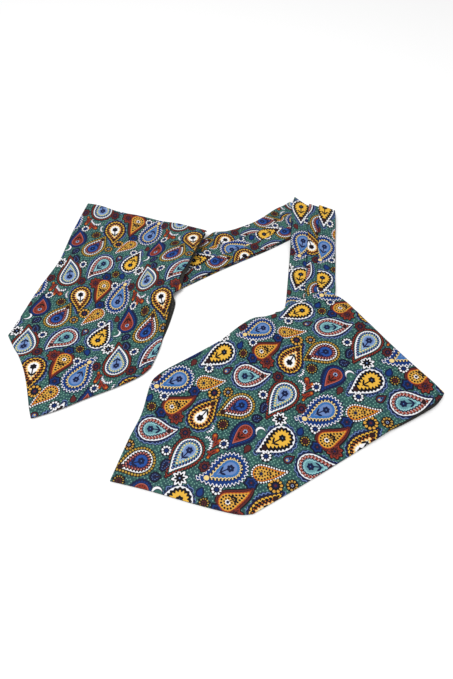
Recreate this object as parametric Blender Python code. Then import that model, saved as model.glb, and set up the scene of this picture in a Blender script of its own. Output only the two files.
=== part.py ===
"""A silk cravat laid out on a table: two pointed blades joined by a pleated neckband.

Millimetres are used throughout and become metres when a mesh is made. X runs to the
right, Y runs away from the viewer and Z is up, with the table at zero. Every piece is
a wall of cloth grown to both sides of a middle surface, which closes in a rounded edge.
"""

import math

import bpy
import numpy as np

MM = 0.001

# Walls and gaps
SILK = 1.2
LINING = 1.0
GAP = 0.35
EDGE_ROUND = 0.7
LAYER = SILK + GAP
FACE_LIFT = LINING + GAP + 0.15 + SILK / 2
BACK_INSET = 0.9

# Where the two blades lie: the tip of each, and the way from its tip to its top
NEAR_TIP = (-86.8, -167.4)
NEAR_HEADING = 30.5
FAR_TIP = (-165.8, -112.6)
FAR_HEADING = 77.4

# Middle of the whole footprint in the measures below, which becomes the origin
MIDDLE = (-0.33, -2.27)

# Outlines of the blades. A row is a point of the edge: its distance from the tip
# along the blade, and its distance to the left of the blade's middle line.
NEAR = {
    "left_tip": ((0, 0), (27.8, 25.2), (47.6, 41.6), (66.8, 64.3), (78, 69.6), (91, 71)),
    "right_tip": ((0, 0), (24, -22.8), (53.6, -53.2), (76.9, -75.2), (88, -81.6)),
    "left": (
        (91, 71), (123, 71.8), (150, 73.8), (176, 79.6), (190, 80), (204, 74.6), (221, 73.4), (235, 78),
    ),
    "right": ((88, -81.6), (132, -83.4), (196, -84.6), (240, -85.2), (284, -86), (296.5, -83)),
    "top": ((235, 78), (258, 70), (285, 58), (290, 16.6), (292, -16.7), (295.5, -59.9), (296.5, -83)),
}
FAR = {
    "left_tip": ((0, 0), (9.6, 6.8), (26.5, 17.4), (42.7, 28.8), (56.7, 41.4), (66, 52.4), (77, 64)),
    "right_tip": ((0, 0), (12.8, -20), (29.5, -41.2), (47.6, -65.4), (62, -81.4), (73, -88.6)),
    "left": ((77, 64), (101, 62.8), (140, 61.5), (180, 57.2), (199, 57), (231, 60.2), (282.5, 62.5)),
    "right": (
        (73, -88.6), (95, -90.3), (109, -89.6), (124, -88.4), (141, -87), (156, -85.6), (164, -86.2),
        (171, -90.4), (176, -90.6), (181, -87.4), (188, -86), (213, -91), (262, -97),
    ),
    "top": ((282.5, 62.5), (281.6, 44), (275.6, 17), (275, -7), (271, -38), (267, -62), (262, -97)),
}
FAR_BACK_RIGHT = (
    (74, -87.8), (95, -90), (110, -91), (126, -91.8), (144, -91.4), (155, -90), (163, -85),
    (170, -79), (190, -78.6), (204, -84), (256, -91),
)

# Fold along the top of each blade, where the cloth turns under
FOLD_RADIUS = 3.6
FOLD_INSET = 4.6
FOLD_LOW = 0.75
FOLD_ROWS = (0.5 * FOLD_RADIUS, FOLD_RADIUS)
BACK_DRAWN_DOWN = (170, 270)
TURN_THICK = 2.2
TURN_RISE = TURN_THICK + GAP
NEAR_TURN = {
    "low_left": (224, 26), "low_right": (228, -79), "top_left": (282, 22), "top_right": (289.5, -78.5),
}
NEAR_TURN_RAMP = (192, 222)
NEAR_TURN_SIDE_RAMP = (52, 26)
CORNER_LIFT = 2.3
CORNER_LIFT_ALONG = (236, 290)
CORNER_LIFT_ACROSS = (-38, -80)
FAR_TURN = {
    "low_left": (205, 52), "low_right": (206, -84), "top_left": (273, 55), "top_right": (256, -89),
}
FAR_TURN_RAMP = (174, 204)
TURN_WIDTH = 130.0
TURN_DEPTH = 65.0

# Throat of the near blade, where the neckband's pleats meet its face
THROAT_ALONG = (205, 225)
THROAT_ACROSS = (36, 54)
THROAT_FACE = 0.25
BACK_THROAT_ALONG = (175, 235)
BACK_THROAT_ACROSS = (-10, 70)
BACK_THROAT_CUT = (15.0, 2.0)

# Bulge of the far blade where the neckband passes beneath it
BULGE_ACROSS = (-32, -66)
BULGE_ALONG = (108, 152)
ROLL_ALONG = (158, 169, 178, 190)
ROLL_ACROSS = (-79, -89)
ROLL_DROP = 1.3
SLOPE_ACROSS = (-83.5, -91)
SLOPE_END = (160, 169)

# Neckband, as rails seen from above. The far stretch runs from under the far blade to
# the fold at the corner, and the near stretch runs from that fold to the near blade.
UPPER_RAIL = (
    (-46.5, 96), (-17, 116.5), (-5, 127.5), (12.8, 130), (45, 146), (71, 168.5), (84, 177), (98.6, 190),
)
LOWER_RAIL = (
    (-64.7, 24.3), (-38.7, 39.3), (-3.1, 61.8), (25.1, 78.2), (60.4, 98.2), (100, 124.5), (145, 159.2),
)
EAST_RAIL = ((145, 159.2), (141.2, 124.2), (135, 78.3), (130.4, 48.5), (128, 32), (124, 21))
WEST_RAIL = ((98.8, 193.2), (91.5, 166), (85, 107.8), (81.6, 78), (76.8, 43.8), (73.4, 21), (70.5, 10.5))
FOLD_SETBACK = {"shares": (0.0, 0.25, 0.69, 1.0), "along": (0.0, 2.0, 5.2, 0.0)}
FAR_PLEAT_LIPS = (0.0, 0.36, 0.68)
NEAR_PLEAT_LIPS = (1.0, 0.63, 0.40)
PLEAT_EDGE_STEP = 0.5
FOLD_STEP = 2.0
BAND_FOLD_RADIUS = 4.0
BAND_FOLD_LOW = 0.8
BAND_FOLD_ROWS = (0.5 * BAND_FOLD_RADIUS, BAND_FOLD_RADIUS)
FAR_END_BACK = 12.0
BAND_STACK = 3 * SILK + 2 * GAP
BAND_RISE = BAND_STACK + GAP
CLIMB_RUN = (3.0, 42.0)
NEAR_END_CUTS = (3.5, 1.5, 0.0)
THROAT_CLIMB = (40.0, 14.0)
THROAT_RISE = LAYER + THROAT_FACE + 0.25
BAND_WIDTH = 53.0
FAR_LENGTH = 200.0
NEAR_LENGTH = 160.0

# How finely the pieces are divided
BLADE_WIDTH = 152.0
BLADE_SIDE = 195.0
BLADE_COLUMNS = 22
BLADE_ROWS = 17
TURN_COLUMNS = 13
TURN_ROWS = 6
BAND_ROWS = 21
PLEAT_COLUMNS = (6, 5, 4)
CURVE_STEPS = 12

# Looks of the plain model
PRINT = (0.12, 0.16, 0.16, 1.0)
SHADED_BACK = (0.055, 0.055, 0.05, 1.0)
SILK_ROUGHNESS = 0.42


def smooth(value, start, end):
    """Goes softly from 0 at start to 1 at end, whichever of the two is larger."""
    share = np.clip((value - start) / (end - start), 0.0, 1.0)
    return share * share * (3.0 - 2.0 * share)


def curve(points):
    """A dense smooth line through the points, as Catmull and Rom draw it."""
    known = np.array(points, float)
    held = np.vstack([2 * known[0] - known[1], known, 2 * known[-1] - known[-2]])
    step = np.linspace(0.0, 1.0, CURVE_STEPS, endpoint=False)[:, None]
    runs = []
    for before, start, end, after in zip(held, held[1:], held[2:], held[3:]):
        bend = (2 * before - 5 * start + 4 * end - after) * step**2
        turn = (3 * start - before - 3 * end + after) * step**3
        runs.append(0.5 * (2 * start + (end - before) * step + bend + turn))
    return np.vstack(runs + [known[-1:]])


def at(line, share):
    """The points of a line at shares of its length."""
    gone = np.concatenate([[0.0], np.cumsum(np.linalg.norm(np.diff(line, axis=0), axis=1))])
    along = np.asarray(share) * gone[-1]
    return np.stack([np.interp(along, gone, line[:, k]) for k in range(line.shape[1])], -1)


def stations(length, count, first=(), last=()):
    """Shares of a length: even ones, with distances given from each end as well."""
    first = [0.0, EDGE_ROUND, *first]
    last = [0.0, EDGE_ROUND, *last]
    inner = np.linspace(first[-1] / length, 1.0 - last[-1] / length, count + 1)[1:-1]
    lead = [distance / length for distance in first]
    tail = [1.0 - distance / length for distance in reversed(last)]
    return np.concatenate([lead, inner, tail])


def place(local, tip, heading):
    """Turns distances along and left of a blade into places on the table."""
    turn = math.radians(heading)
    along = np.array([math.cos(turn), math.sin(turn)])
    left = np.array([-math.sin(turn), math.cos(turn)])
    return np.array(tip) + local[..., :1] * along + local[..., 1:2] * left


def tip_line(left_edge, right_edge, across):
    """The pointed end as one line of points, with its tip at half its length."""
    left = at(curve(left_edge)[::-1], np.clip(across * 2.0, 0.0, 1.0))
    right = at(curve(right_edge), np.clip(across * 2.0 - 1.0, 0.0, 1.0))
    return np.where((across < 0.5)[:, None], left, right)


def blade_patch(outline, across, along):
    """A blade's plan, blended from its edges: pointed below, folded straight above."""
    low = tip_line(outline["left_tip"], outline["right_tip"], across)[None]
    top = at(curve(outline["top"]), across)[None]
    left = at(curve(outline["left"]), along)[:, None]
    right = at(curve(outline["right"]), along)[:, None]
    u = across[None, :, None]
    v = along[:, None, None]
    lower = (1 - u) * low[:, :1] + u * low[:, -1:]
    upper = (1 - u) * top[:, :1] + u * top[:, -1:]
    return (1 - v) * (low - lower) + v * (top - upper) + (1 - u) * left + u * right


def inset(plan, distance):
    """Draws a plan in from its edges by a distance, in proportion all over."""
    middle = plan.reshape(-1, 2).mean(axis=0)
    size = plan.reshape(-1, 2).max(axis=0) - plan.reshape(-1, 2).min(axis=0)
    return middle + (plan - middle) * (1.0 - 2.0 * distance / size)


def normals(surface):
    """Unit normals of a grid of points, upwards where the grid turns to the left."""
    crossed = np.cross(np.gradient(surface, axis=1), np.gradient(surface, axis=0))
    return crossed / np.linalg.norm(crossed, axis=2, keepdims=True)


def wall(name, surface, thickness, colour):
    """A closed wall on both sides of a middle surface, its rim on the surface itself."""
    rows, columns = surface.shape[:2]
    offset = normals(surface) * thickness / 2.0
    offset[[0, -1]] = 0.0
    offset[:, [0, -1]] = 0.0
    upper = (surface + offset).reshape(-1, 3)
    inner = np.zeros((rows, columns), bool)
    inner[1:-1, 1:-1] = True
    lower = (surface - offset)[inner]
    top = np.arange(rows * columns).reshape(rows, columns)
    bottom = top.copy()
    bottom[inner] = rows * columns + np.arange(lower.shape[0])
    faces = []
    for grid, upward in ((top, True), (bottom, False)):
        corners = [grid[:-1, :-1], grid[:-1, 1:], grid[1:, 1:], grid[1:, :-1]]
        quads = np.stack([corner.ravel() for corner in corners], -1)
        faces.extend((quads if upward else quads[:, ::-1]).tolist())
    mesh = bpy.data.meshes.new(name)
    points = np.vstack([upper, lower]) - np.array([*MIDDLE, 0.0])
    mesh.from_pydata((points * MM).tolist(), [], faces)
    mesh.update()
    mesh.shade_smooth()
    mesh.set_sharp_from_angle(angle=math.radians(40))
    mesh.materials.append(finish(name, colour))
    piece = bpy.data.objects.new(name, mesh)
    bpy.context.scene.collection.objects.link(piece)
    return piece


def finish(name, colour):
    """A plain satin finish, one for each piece."""
    material = bpy.data.materials.new(name)
    material.use_nodes = True
    shader = material.node_tree.nodes["Principled BSDF"]
    shader.inputs["Base Color"].default_value = colour
    shader.inputs["Roughness"].default_value = SILK_ROUGHNESS
    shader.inputs["Metallic"].default_value = 0.0
    return material


def with_height(plan, height):
    """Adds heights to a plan."""
    return np.concatenate([plan, height[..., None]], -1)


def folded_down(height, distance, radius, low):
    """Height of cloth that rounds down to low at a fold, by distance from the fold."""
    reach = np.clip(distance / radius, 0.0, 1.0)
    return low + (height - low) * np.sqrt(1.0 - (1.0 - reach) ** 2)


def near_rise(local):
    """Height of what lies under the near blade: the turned cloth, fuller at the corner."""
    along, across = local[..., 0], local[..., 1]
    turned = TURN_RISE * smooth(along, *NEAR_TURN_RAMP) * smooth(across, *NEAR_TURN_SIDE_RAMP)
    corner = smooth(along, *CORNER_LIFT_ALONG) * smooth(across, *CORNER_LIFT_ACROSS)
    return turned + CORNER_LIFT * corner


def far_bulge(local):
    """Height of the far blade's turned cloth over the neckband's end."""
    along, across = local[..., 0], local[..., 1]
    return BAND_RISE * smooth(across, *BULGE_ACROSS) * smooth(along, *BULGE_ALONG)


def far_rise(local):
    """Height of all that lies under the far blade's back."""
    return far_bulge(local) + TURN_RISE * smooth(local[..., 0], *FAR_TURN_RAMP)


def far_roll(local):
    """How far the far blade's right edge rolls down at the throat."""
    along, across = local[..., 0], local[..., 1]
    start, full, still, end = ROLL_ALONG
    span = smooth(along, start, full) * (1.0 - smooth(along, still, end))
    return ROLL_DROP * span * smooth(across, *ROLL_ACROSS)


def back_plan(outline, across):
    """A blade back's plan, in from the face's edges and short of the fold at its top."""
    plan = inset(blade_patch(outline, across, stations(BLADE_SIDE, BLADE_ROWS)), BACK_INSET)
    return plan - smooth(plan[..., :1], *BACK_DRAWN_DOWN) * np.array([FOLD_INSET, 0.0])


def make_near_blade():
    """Face, back and turned-under top of the near blade."""
    across = stations(BLADE_WIDTH, BLADE_COLUMNS)
    along = stations(BLADE_SIDE, BLADE_ROWS, last=FOLD_ROWS)
    plan = blade_patch(NEAR, across, along)
    throat = smooth(plan[..., 0], *THROAT_ALONG) * smooth(plan[..., 1], *THROAT_ACROSS)
    height = FACE_LIFT + near_rise(plan) + THROAT_FACE * throat
    to_fold = np.linalg.norm(plan - plan[-1:], axis=2)
    rounding = folded_down(height, to_fold, FOLD_RADIUS, FOLD_LOW)
    height = height + (rounding - height) * (1.0 - np.sqrt(throat))
    wall("near_blade_face", with_height(place(plan, NEAR_TIP, NEAR_HEADING), height), SILK, PRINT)

    plan = back_plan(NEAR, across)
    by_throat = smooth(plan[..., 0], *BACK_THROAT_ALONG) * smooth(plan[..., 1], *BACK_THROAT_ACROSS)
    plan = plan - by_throat[..., None] * np.array(BACK_THROAT_CUT)
    back = with_height(place(plan, NEAR_TIP, NEAR_HEADING), LINING / 2 + near_rise(plan))
    wall("near_blade_back", back, LINING, SHADED_BACK)
    make_turned("near_blade_turned_top", NEAR_TURN, near_rise, None, NEAR_TIP, NEAR_HEADING)


def make_far_blade():
    """Face, back and turned-under top of the far blade."""
    across = stations(BLADE_WIDTH, BLADE_COLUMNS)
    along = stations(BLADE_SIDE, BLADE_ROWS, last=FOLD_ROWS)
    plan = blade_patch(FAR, across, along)
    height = FACE_LIFT + far_rise(plan) - far_roll(plan)
    to_fold = np.linalg.norm(plan - plan[-1:], axis=2)
    height = folded_down(height, to_fold, FOLD_RADIUS, FOLD_LOW + far_bulge(plan))
    wall("far_blade_face", with_height(place(plan, FAR_TIP, FAR_HEADING), height), SILK, PRINT)

    plan = back_plan({**FAR, "right": FAR_BACK_RIGHT}, across)
    slope = smooth(plan[..., 1], *SLOPE_ACROSS) * (1.0 - smooth(plan[..., 0], *SLOPE_END))
    height = LINING / 2 + far_rise(plan) * (1.0 - slope)
    back = with_height(place(plan, FAR_TIP, FAR_HEADING), height)
    wall("far_blade_back", back, LINING, SHADED_BACK)
    make_turned("far_blade_turned_top", FAR_TURN, far_rise, far_bulge, FAR_TIP, FAR_HEADING)


def make_turned(name, corners, rise, floor, tip, heading):
    """The layers turned under a blade's top, one rounded solid between floor and blade."""
    across = stations(TURN_WIDTH, TURN_COLUMNS)
    along = stations(TURN_DEPTH, TURN_ROWS)
    u = across[None, :, None]
    v = along[:, None, None]
    points = {corner: np.array(point, float) for corner, point in corners.items()}
    low = (1 - u) * points["low_left"] + u * points["low_right"]
    top = (1 - u) * points["top_left"] + u * points["top_right"]
    plan = (1 - v) * low + v * top
    under = floor(plan) if floor else np.zeros(plan.shape[:2])
    thickness = rise(plan) - GAP - under
    surface = with_height(place(plan, tip, heading), under + thickness / 2)
    wall(name, surface, thickness[..., None], SHADED_BACK)


def strip_plan(left_rail, right_rail, share, along):
    """A strip's plan from shares of the width across and of each rail along."""
    left = at(curve(left_rail), along)
    right = at(curve(right_rail), along)
    return (1 - share[None, :, None]) * left + share[None, :, None] * right


def below_band(plan):
    """Distance in front of the far stretch's lower edge near the corner."""
    line = curve(LOWER_RAIL)
    gaps = plan[..., None, :] - line
    nearest = np.argmin((gaps**2).sum(-1), axis=-1)
    heading = np.gradient(line, axis=0)[nearest]
    heading = heading / np.linalg.norm(heading, axis=-1, keepdims=True)
    gap = plan - line[nearest]
    return heading[..., 1] * gap[..., 0] - heading[..., 0] * gap[..., 1]


def make_far_stretch():
    """Three pleats of the neckband's far stretch, each lying on the one before."""
    for layer, lip in enumerate(FAR_PLEAT_LIPS):
        edge = 1.0 - PLEAT_EDGE_STEP * layer / BAND_WIDTH
        share = lip + (edge - lip) * stations(BAND_WIDTH * (edge - lip), PLEAT_COLUMNS[layer])
        cut = 1.0 - (FAR_END_BACK + layer) / FAR_LENGTH
        along = np.repeat(cut * stations(FAR_LENGTH, BAND_ROWS)[:, None], len(share), axis=1)
        plan = strip_plan(UPPER_RAIL, LOWER_RAIL, share, along)
        height = np.full(plan.shape[:2], SILK / 2 + layer * LAYER)
        wall(f"far_stretch_pleat_{layer + 1}", with_height(plan, height), SILK, PRINT)


def make_near_stretch():
    """Three pleats of the near stretch, rounded over at the corner and at the throat."""
    for layer, lip in enumerate(NEAR_PLEAT_LIPS):
        edge = PLEAT_EDGE_STEP * layer / BAND_WIDTH
        share = edge + (lip - edge) * stations(BAND_WIDTH * (lip - edge), PLEAT_COLUMNS[layer])
        setback = np.interp(share, FOLD_SETBACK["shares"], FOLD_SETBACK["along"])
        layers_above = len(NEAR_PLEAT_LIPS) - 1 - layer
        start = (FOLD_STEP * layers_above + setback) / NEAR_LENGTH
        end = 1.0 - NEAR_END_CUTS[layer] / NEAR_LENGTH
        rows = stations(NEAR_LENGTH, BAND_ROWS, first=BAND_FOLD_ROWS)[:, None]
        plan = strip_plan(EAST_RAIL, WEST_RAIL, share, start + (end - start) * rows)
        climb = BAND_RISE * (1.0 - smooth(below_band(plan), *CLIMB_RUN))
        height = SILK / 2 + layer * LAYER + climb
        rails_end = strip_plan(EAST_RAIL, WEST_RAIL, share, np.ones((1, len(share))))
        to_end = np.linalg.norm(plan - rails_end, axis=2)
        if layer:
            height = height + THROAT_RISE * smooth(to_end, *THROAT_CLIMB)
        to_fold = np.linalg.norm(plan - plan[:1], axis=2)
        height = folded_down(height, to_fold, BAND_FOLD_RADIUS, BAND_FOLD_LOW)
        wall(f"near_stretch_pleat_{layer + 1}", with_height(plan, height), SILK, PRINT)


def main():
    """Clears the scene and makes the cravat."""
    for item in list(bpy.context.scene.objects):
        bpy.data.objects.remove(item, do_unlink=True)
    make_far_stretch()
    make_near_stretch()
    make_far_blade()
    make_near_blade()


main()
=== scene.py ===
"""Looks of a printed silk cravat laid out flat: two pointed blades and a pleated neckband.

Millimetres are used for every measure and become metres when a mesh is made. X runs to
the right of the photo, Y away from the viewer and Z up from the surface it lies on.
"""

import logging
import math
from dataclasses import dataclass, field
from enum import Enum

import bpy
import numpy as np
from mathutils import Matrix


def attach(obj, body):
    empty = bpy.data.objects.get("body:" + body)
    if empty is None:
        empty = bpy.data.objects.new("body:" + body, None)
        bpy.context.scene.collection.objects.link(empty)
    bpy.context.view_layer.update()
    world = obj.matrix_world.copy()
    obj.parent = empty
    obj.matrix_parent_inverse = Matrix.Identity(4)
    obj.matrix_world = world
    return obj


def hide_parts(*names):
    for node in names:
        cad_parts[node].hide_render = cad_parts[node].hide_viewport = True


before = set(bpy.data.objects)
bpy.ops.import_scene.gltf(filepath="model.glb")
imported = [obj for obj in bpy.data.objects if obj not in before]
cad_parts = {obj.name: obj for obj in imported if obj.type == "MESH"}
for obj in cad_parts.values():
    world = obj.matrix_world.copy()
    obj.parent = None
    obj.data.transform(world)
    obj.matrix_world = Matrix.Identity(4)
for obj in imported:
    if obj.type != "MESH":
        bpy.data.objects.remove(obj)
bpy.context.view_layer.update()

logging.basicConfig(level=logging.INFO, format="%(message)s")
LOG = logging.getLogger("cravat")

Array = np.ndarray
Point = tuple[float, float]
Line = tuple[Point, ...]
Colour = tuple[float, float, float]

MM = 0.001
RECORD_SLOTS = ("printed_silk", "grey_silk")

# Walls and gaps
SILK = 1.2
LINING = 1.0
GAP = 0.35
EDGE_ROUND = 0.7
LAYER = SILK + GAP
FACE_LIFT = LINING + GAP + 0.15 + SILK / 2
BACK_INSET = 0.9

# Middle of the whole footprint in the measures below, which becomes the origin
MIDDLE = (-0.33, -2.27)

# Outlines of the blades: distance from the tip along the blade, distance to the left
NEAR_OUTLINE = {
    "left_tip": ((0, 0), (27.8, 25.2), (47.6, 41.6), (66.8, 64.3), (78, 69.6), (91, 71)),
    "right_tip": ((0, 0), (24, -22.8), (53.6, -53.2), (76.9, -75.2), (88, -81.6)),
    "left": (
        (91, 71), (123, 71.8), (150, 73.4), (174, 78.4), (191, 79.6), (204, 74.8), (219, 72.4), (226, 73.4),
        (235, 78),
    ),
    "right": ((88, -81.6), (132, -83.4), (196, -84.6), (240, -85.2), (284, -86), (296.5, -83)),
    "top": ((235, 78), (258, 70), (285, 58), (290, 16.6), (292, -16.7), (295.5, -59.9), (296.5, -83)),
}
FAR_OUTLINE = {
    "left_tip": ((0, 0), (9.6, 6.8), (26.5, 17.4), (42.7, 28.8), (56.7, 41.4), (66, 52.4), (77, 64)),
    "right_tip": ((0, 0), (12.8, -20), (29.5, -41.2), (47.6, -65.4), (62, -81.4), (73, -88.6)),
    "left": ((77, 64), (101, 62.8), (140, 61.5), (180, 57.2), (199, 57), (231, 60.2), (282.5, 62.5)),
    "right": (
        (73, -88.6), (95, -90.3), (109, -89.6), (124, -88.4), (141, -87), (156, -85.6), (164, -86.2),
        (171, -90.4), (176, -90.6), (181, -87.4), (188, -86), (213, -91), (262, -97),
    ),
    "top": ((282.5, 62.5), (281.6, 44), (275.6, 17), (275, -7), (271, -38), (267, -62), (262, -97)),
}
# Right edge of the far back. Along the flap it stands past the face's edge so that its charcoal shows as a dark line,
# painted shade for the gap beneath the flap; lower down it is the lining showing past the face
FAR_BACK_RIGHT = (
    (74, -87.8), (95, -90), (110, -91), (126, -91.8), (144, -91.4), (155, -90), (163, -85),
    (170, -86), (176, -90.4), (182, -91.2), (190, -90.8), (213, -93.4), (262, -98.4),
)
FAR_BACK_TOP = (
    (282.5, 62.5), (281.6, 44), (275.6, 17), (275, -7), (271, -38), (267, -62), (262, -98.4),
)
# Right edge of the near back. Towards the right corner it stands past the face's edge so that its charcoal shows as a
# dark band along the lifted edge: partly the lining, partly painted shade
NEAR_BACK_RIGHT = (
    (88, -81.6), (132, -83.4), (196, -84.6), (226, -85.4), (244, -87.2), (262, -88.6), (284, -89.4),
    (296.5, -86.6),
)
NEAR_BACK_TOP = ((235, 78), (258, 70), (285, 58), (290, 16.6), (292, -16.7), (295.5, -59.9), (296.5, -86.6))

# Fold along the top of each blade, where the cloth turns under
FOLD_RADIUS = 3.6
FOLD_INSET = 4.6
FOLD_LOW = 0.75
BACK_DRAWN_DOWN = (170, 270)
TURN_THICK = 2.2
TURN_RISE = TURN_THICK + GAP
NEAR_TURN = {
    "low_left": (224, 26), "low_right": (224, -83.2), "top_left": (282, 22), "top_right": (291.5, -83.6),
}
NEAR_TURN_RAMP = (192, 222)
NEAR_TURN_SIDE_RAMP = (52, 26)
CORNER_LIFT = 2.3
CORNER_LIFT_ALONG = (236, 290)
CORNER_LIFT_ACROSS = (-38, -80)
FAR_TURN = {
    "low_left": (205, 52), "low_right": (206, -84), "top_left": (273, 55), "top_right": (256, -89),
}
FAR_TURN_RAMP = (174, 204)
TURN_WIDTH = 130.0
TURN_DEPTH = 65.0

# Throat of the near blade, where the neckband's pleats meet its face
THROAT_ALONG = (205, 225)
THROAT_ACROSS = (36, 54)
THROAT_FACE = 0.25
BACK_THROAT_ALONG = (175, 235)
BACK_THROAT_ACROSS = (-10, 70)
BACK_THROAT_CUT = (15.0, 2.0)

# Bulge of the far blade where the neckband passes beneath it
BULGE_ACROSS = (-32, -66)
BULGE_ALONG = (108, 152)
ROLL_ALONG = (158, 169, 178, 190)
ROLL_ACROSS = (-79, -89)
ROLL_DROP = 1.3
SLOPE_ACROSS = (-83.5, -91)
SLOPE_END = (160, 169)

# Flap of the far blade that stands off the neckband below it
FLAP_ACROSS = (-56, -94)
FLAP_START = (171, 196)
FLAP_EASE = (212, 262)
FLAP_LIFT = 3.6
FLAP_DROP = 1.8
FLAP_LEAN = (0.17, -0.8)

# Neckband, as rails seen from above
UPPER_RAIL = (
    (-46.5, 96), (-17, 116.5), (-5, 127.5), (12.8, 130), (45, 146), (71, 168.5), (84, 177), (98.6, 190),
)
LOWER_RAIL = (
    (-64.7, 24.3), (-38.7, 39.3), (-3.1, 61.8), (25.1, 78.2), (60.4, 98.2), (100, 124.5), (145, 159.2),
)
EAST_RAIL = ((145, 159.2), (141.2, 124.2), (135, 78.3), (130.4, 48.5), (128, 32), (124, 21))
WEST_RAIL = ((98.8, 193.2), (91.5, 166), (85, 107.8), (81.6, 78), (76.8, 43.8), (73.4, 21), (70.5, 10.5))
FOLD_SETBACK_SHARES = (0.0, 0.25, 0.69, 1.0)
FOLD_SETBACK_ALONG = (0.0, 2.0, 5.2, 0.0)
FAR_PLEAT_LIPS = (0.0, 0.36, 0.68)
NEAR_PLEAT_LIPS = (1.0, 0.63, 0.40)
PLEAT_EDGE_STEP = 0.5
FOLD_STEP = 2.0
BAND_FOLD_RADIUS = 4.0
BAND_FOLD_LOW = 0.8
FAR_END_BACK = 12.0
BAND_RISE = 3 * SILK + 3 * GAP
CLIMB_RUN = (3.0, 42.0)
NEAR_END_CUTS = (3.5, 1.5, 0.0)
THROAT_CLIMB = (40.0, 14.0)
THROAT_RISE = LAYER + THROAT_FACE + 0.25
THROAT_THIN = 0.15
THROAT_FADE = 14.0
THROAT_SINK = 0.56
BAND_WIDTH = 53.0
FAR_LENGTH = 200.0
NEAR_LENGTH = 160.0

# How finely the pieces are divided, in millimetres between grid lines
BLADE_WIDTH = 152.0
BLADE_SIDE = 195.0
FACE_COLUMNS = 128
FACE_ROWS = 226
BACK_COLUMNS = 60
BACK_ROWS = 84
TURN_COLUMNS = 60
TURN_ROWS = 30
STRIP_PITCH = 1.2
CURVE_STEPS = 12
RIM_ROWS = (0.12, 0.35, 0.7)
FOLD_ROWS = (1.2, 1.8, 2.6, 3.6)

# The print repeats over a square of cloth
REPEAT = 100.0


def smooth(value: Array, start: float, end: float) -> Array:
    """Goes softly from 0 at start to 1 at end, whichever of the two is larger.

    The share s of the way is turned into s squared times (3 - 2s).

    Args:
        value: numbers to place between start and end.
        start: where the result is 0.
        end: where the result is 1.
    Returns:
        Numbers from 0 to 1, in the shape of value.
    """
    share = np.clip((value - start) / (end - start), 0.0, 1.0)
    return share * share * (3.0 - 2.0 * share)


def curve(points: Line) -> Array:
    """A dense smooth line through the points, as Catmull and Rom draw it.

    Args:
        points: points that the line passes through.
    Returns:
        Points of the line, one a row.
    """
    known = np.array(points, float)
    held = np.vstack([2 * known[0] - known[1], known, 2 * known[-1] - known[-2]])
    step = np.linspace(0.0, 1.0, CURVE_STEPS, endpoint=False)[None, :, None]
    before, start, end, after = (held[k : k + len(known) - 1, None] for k in range(4))
    bend = (2 * before - 5 * start + 4 * end - after) * step**2
    turn = (3 * start - before - 3 * end + after) * step**3
    runs = 0.5 * (2 * start + (end - before) * step + bend + turn)
    return np.vstack([runs.reshape(-1, known.shape[1]), known[-1:]])


def at(line: Array, share: Array) -> Array:
    """The points of a line at shares of its length.

    Args:
        line: points of the line, one a row.
        share: shares of the length, from 0 to 1.
    Returns:
        One point for each share.
    """
    gone = np.concatenate([[0.0], np.cumsum(np.linalg.norm(np.diff(line, axis=0), axis=1))])
    along = np.asarray(share) * gone[-1]
    return np.stack([np.interp(along, gone, line[:, k]) for k in range(line.shape[1])], -1)


def stations(length: float, count: int, last: tuple[float, ...] = ()) -> Array:
    """Shares of a length: close together at both rims and even between them.

    Args:
        length: the length in millimetres.
        count: even steps between the rims.
        last: more distances from the far end, in order.
    Returns:
        Shares from 0 to 1.
    """
    first = np.array([0.0, *RIM_ROWS])
    ending = np.array([0.0, *RIM_ROWS, *last])
    inner = np.linspace(first[-1] / length, 1.0 - ending[-1] / length, count + 1)[1:-1]
    return np.concatenate([first / length, inner, 1.0 - ending[::-1] / length])


def rim_profile(shares: Array, length: float) -> Array:
    """How full a wall is at each station: a quarter circle at each rim.

    Args:
        shares: stations from 0 to 1.
        length: the length in millimetres.
    Returns:
        Shares of the full thickness.
    """
    gap = np.minimum(shares, 1.0 - shares) * length
    reach = np.clip(gap / EDGE_ROUND, 0.0, 1.0)
    return np.sqrt(1.0 - (1.0 - reach) ** 2)


def with_height(plan: Array, height: Array) -> Array:
    """Adds heights to a plan.

    Args:
        plan: places on the table.
        height: one height for each place.
    Returns:
        Points in space.
    """
    return np.concatenate([plan, height[..., None]], -1)


def folded_down(height: Array, distance: Array, radius: float, low: Array | float) -> Array:
    """Height of cloth that rounds down to low at a fold, as a quarter circle.

    Args:
        height: the height away from the fold.
        distance: distance from the fold.
        radius: how far the rounding reaches.
        low: height at the fold.
    Returns:
        The rounded heights.
    """
    reach = np.clip(distance / radius, 0.0, 1.0)
    return low + (height - low) * np.sqrt(1.0 - (1.0 - reach) ** 2)


def to_line(plan: Array, line: Array) -> tuple[Array, Array]:
    """Distance from each place to a line of points, and how far along it that is.

    Args:
        plan: places, in rows and columns.
        line: the line's points, one a row.
    Returns:
        The distances, and the shares of the line's length.
    """
    start = line[:-1]
    step = line[1:] - start
    size = (step**2).sum(-1)
    gone = np.concatenate([[0.0], np.cumsum(np.sqrt(size))])
    away = plan[..., None, :] - start
    share = np.clip((away * step).sum(-1) / size, 0.0, 1.0)
    gap = np.linalg.norm(away - share[..., None] * step, axis=-1)
    nearest = gap.argmin(axis=-1)[..., None]
    run = gone[:-1] + share * np.sqrt(size)
    return (
        np.take_along_axis(gap, nearest, -1)[..., 0],
        np.take_along_axis(run, nearest, -1)[..., 0] / gone[-1],
    )


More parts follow.
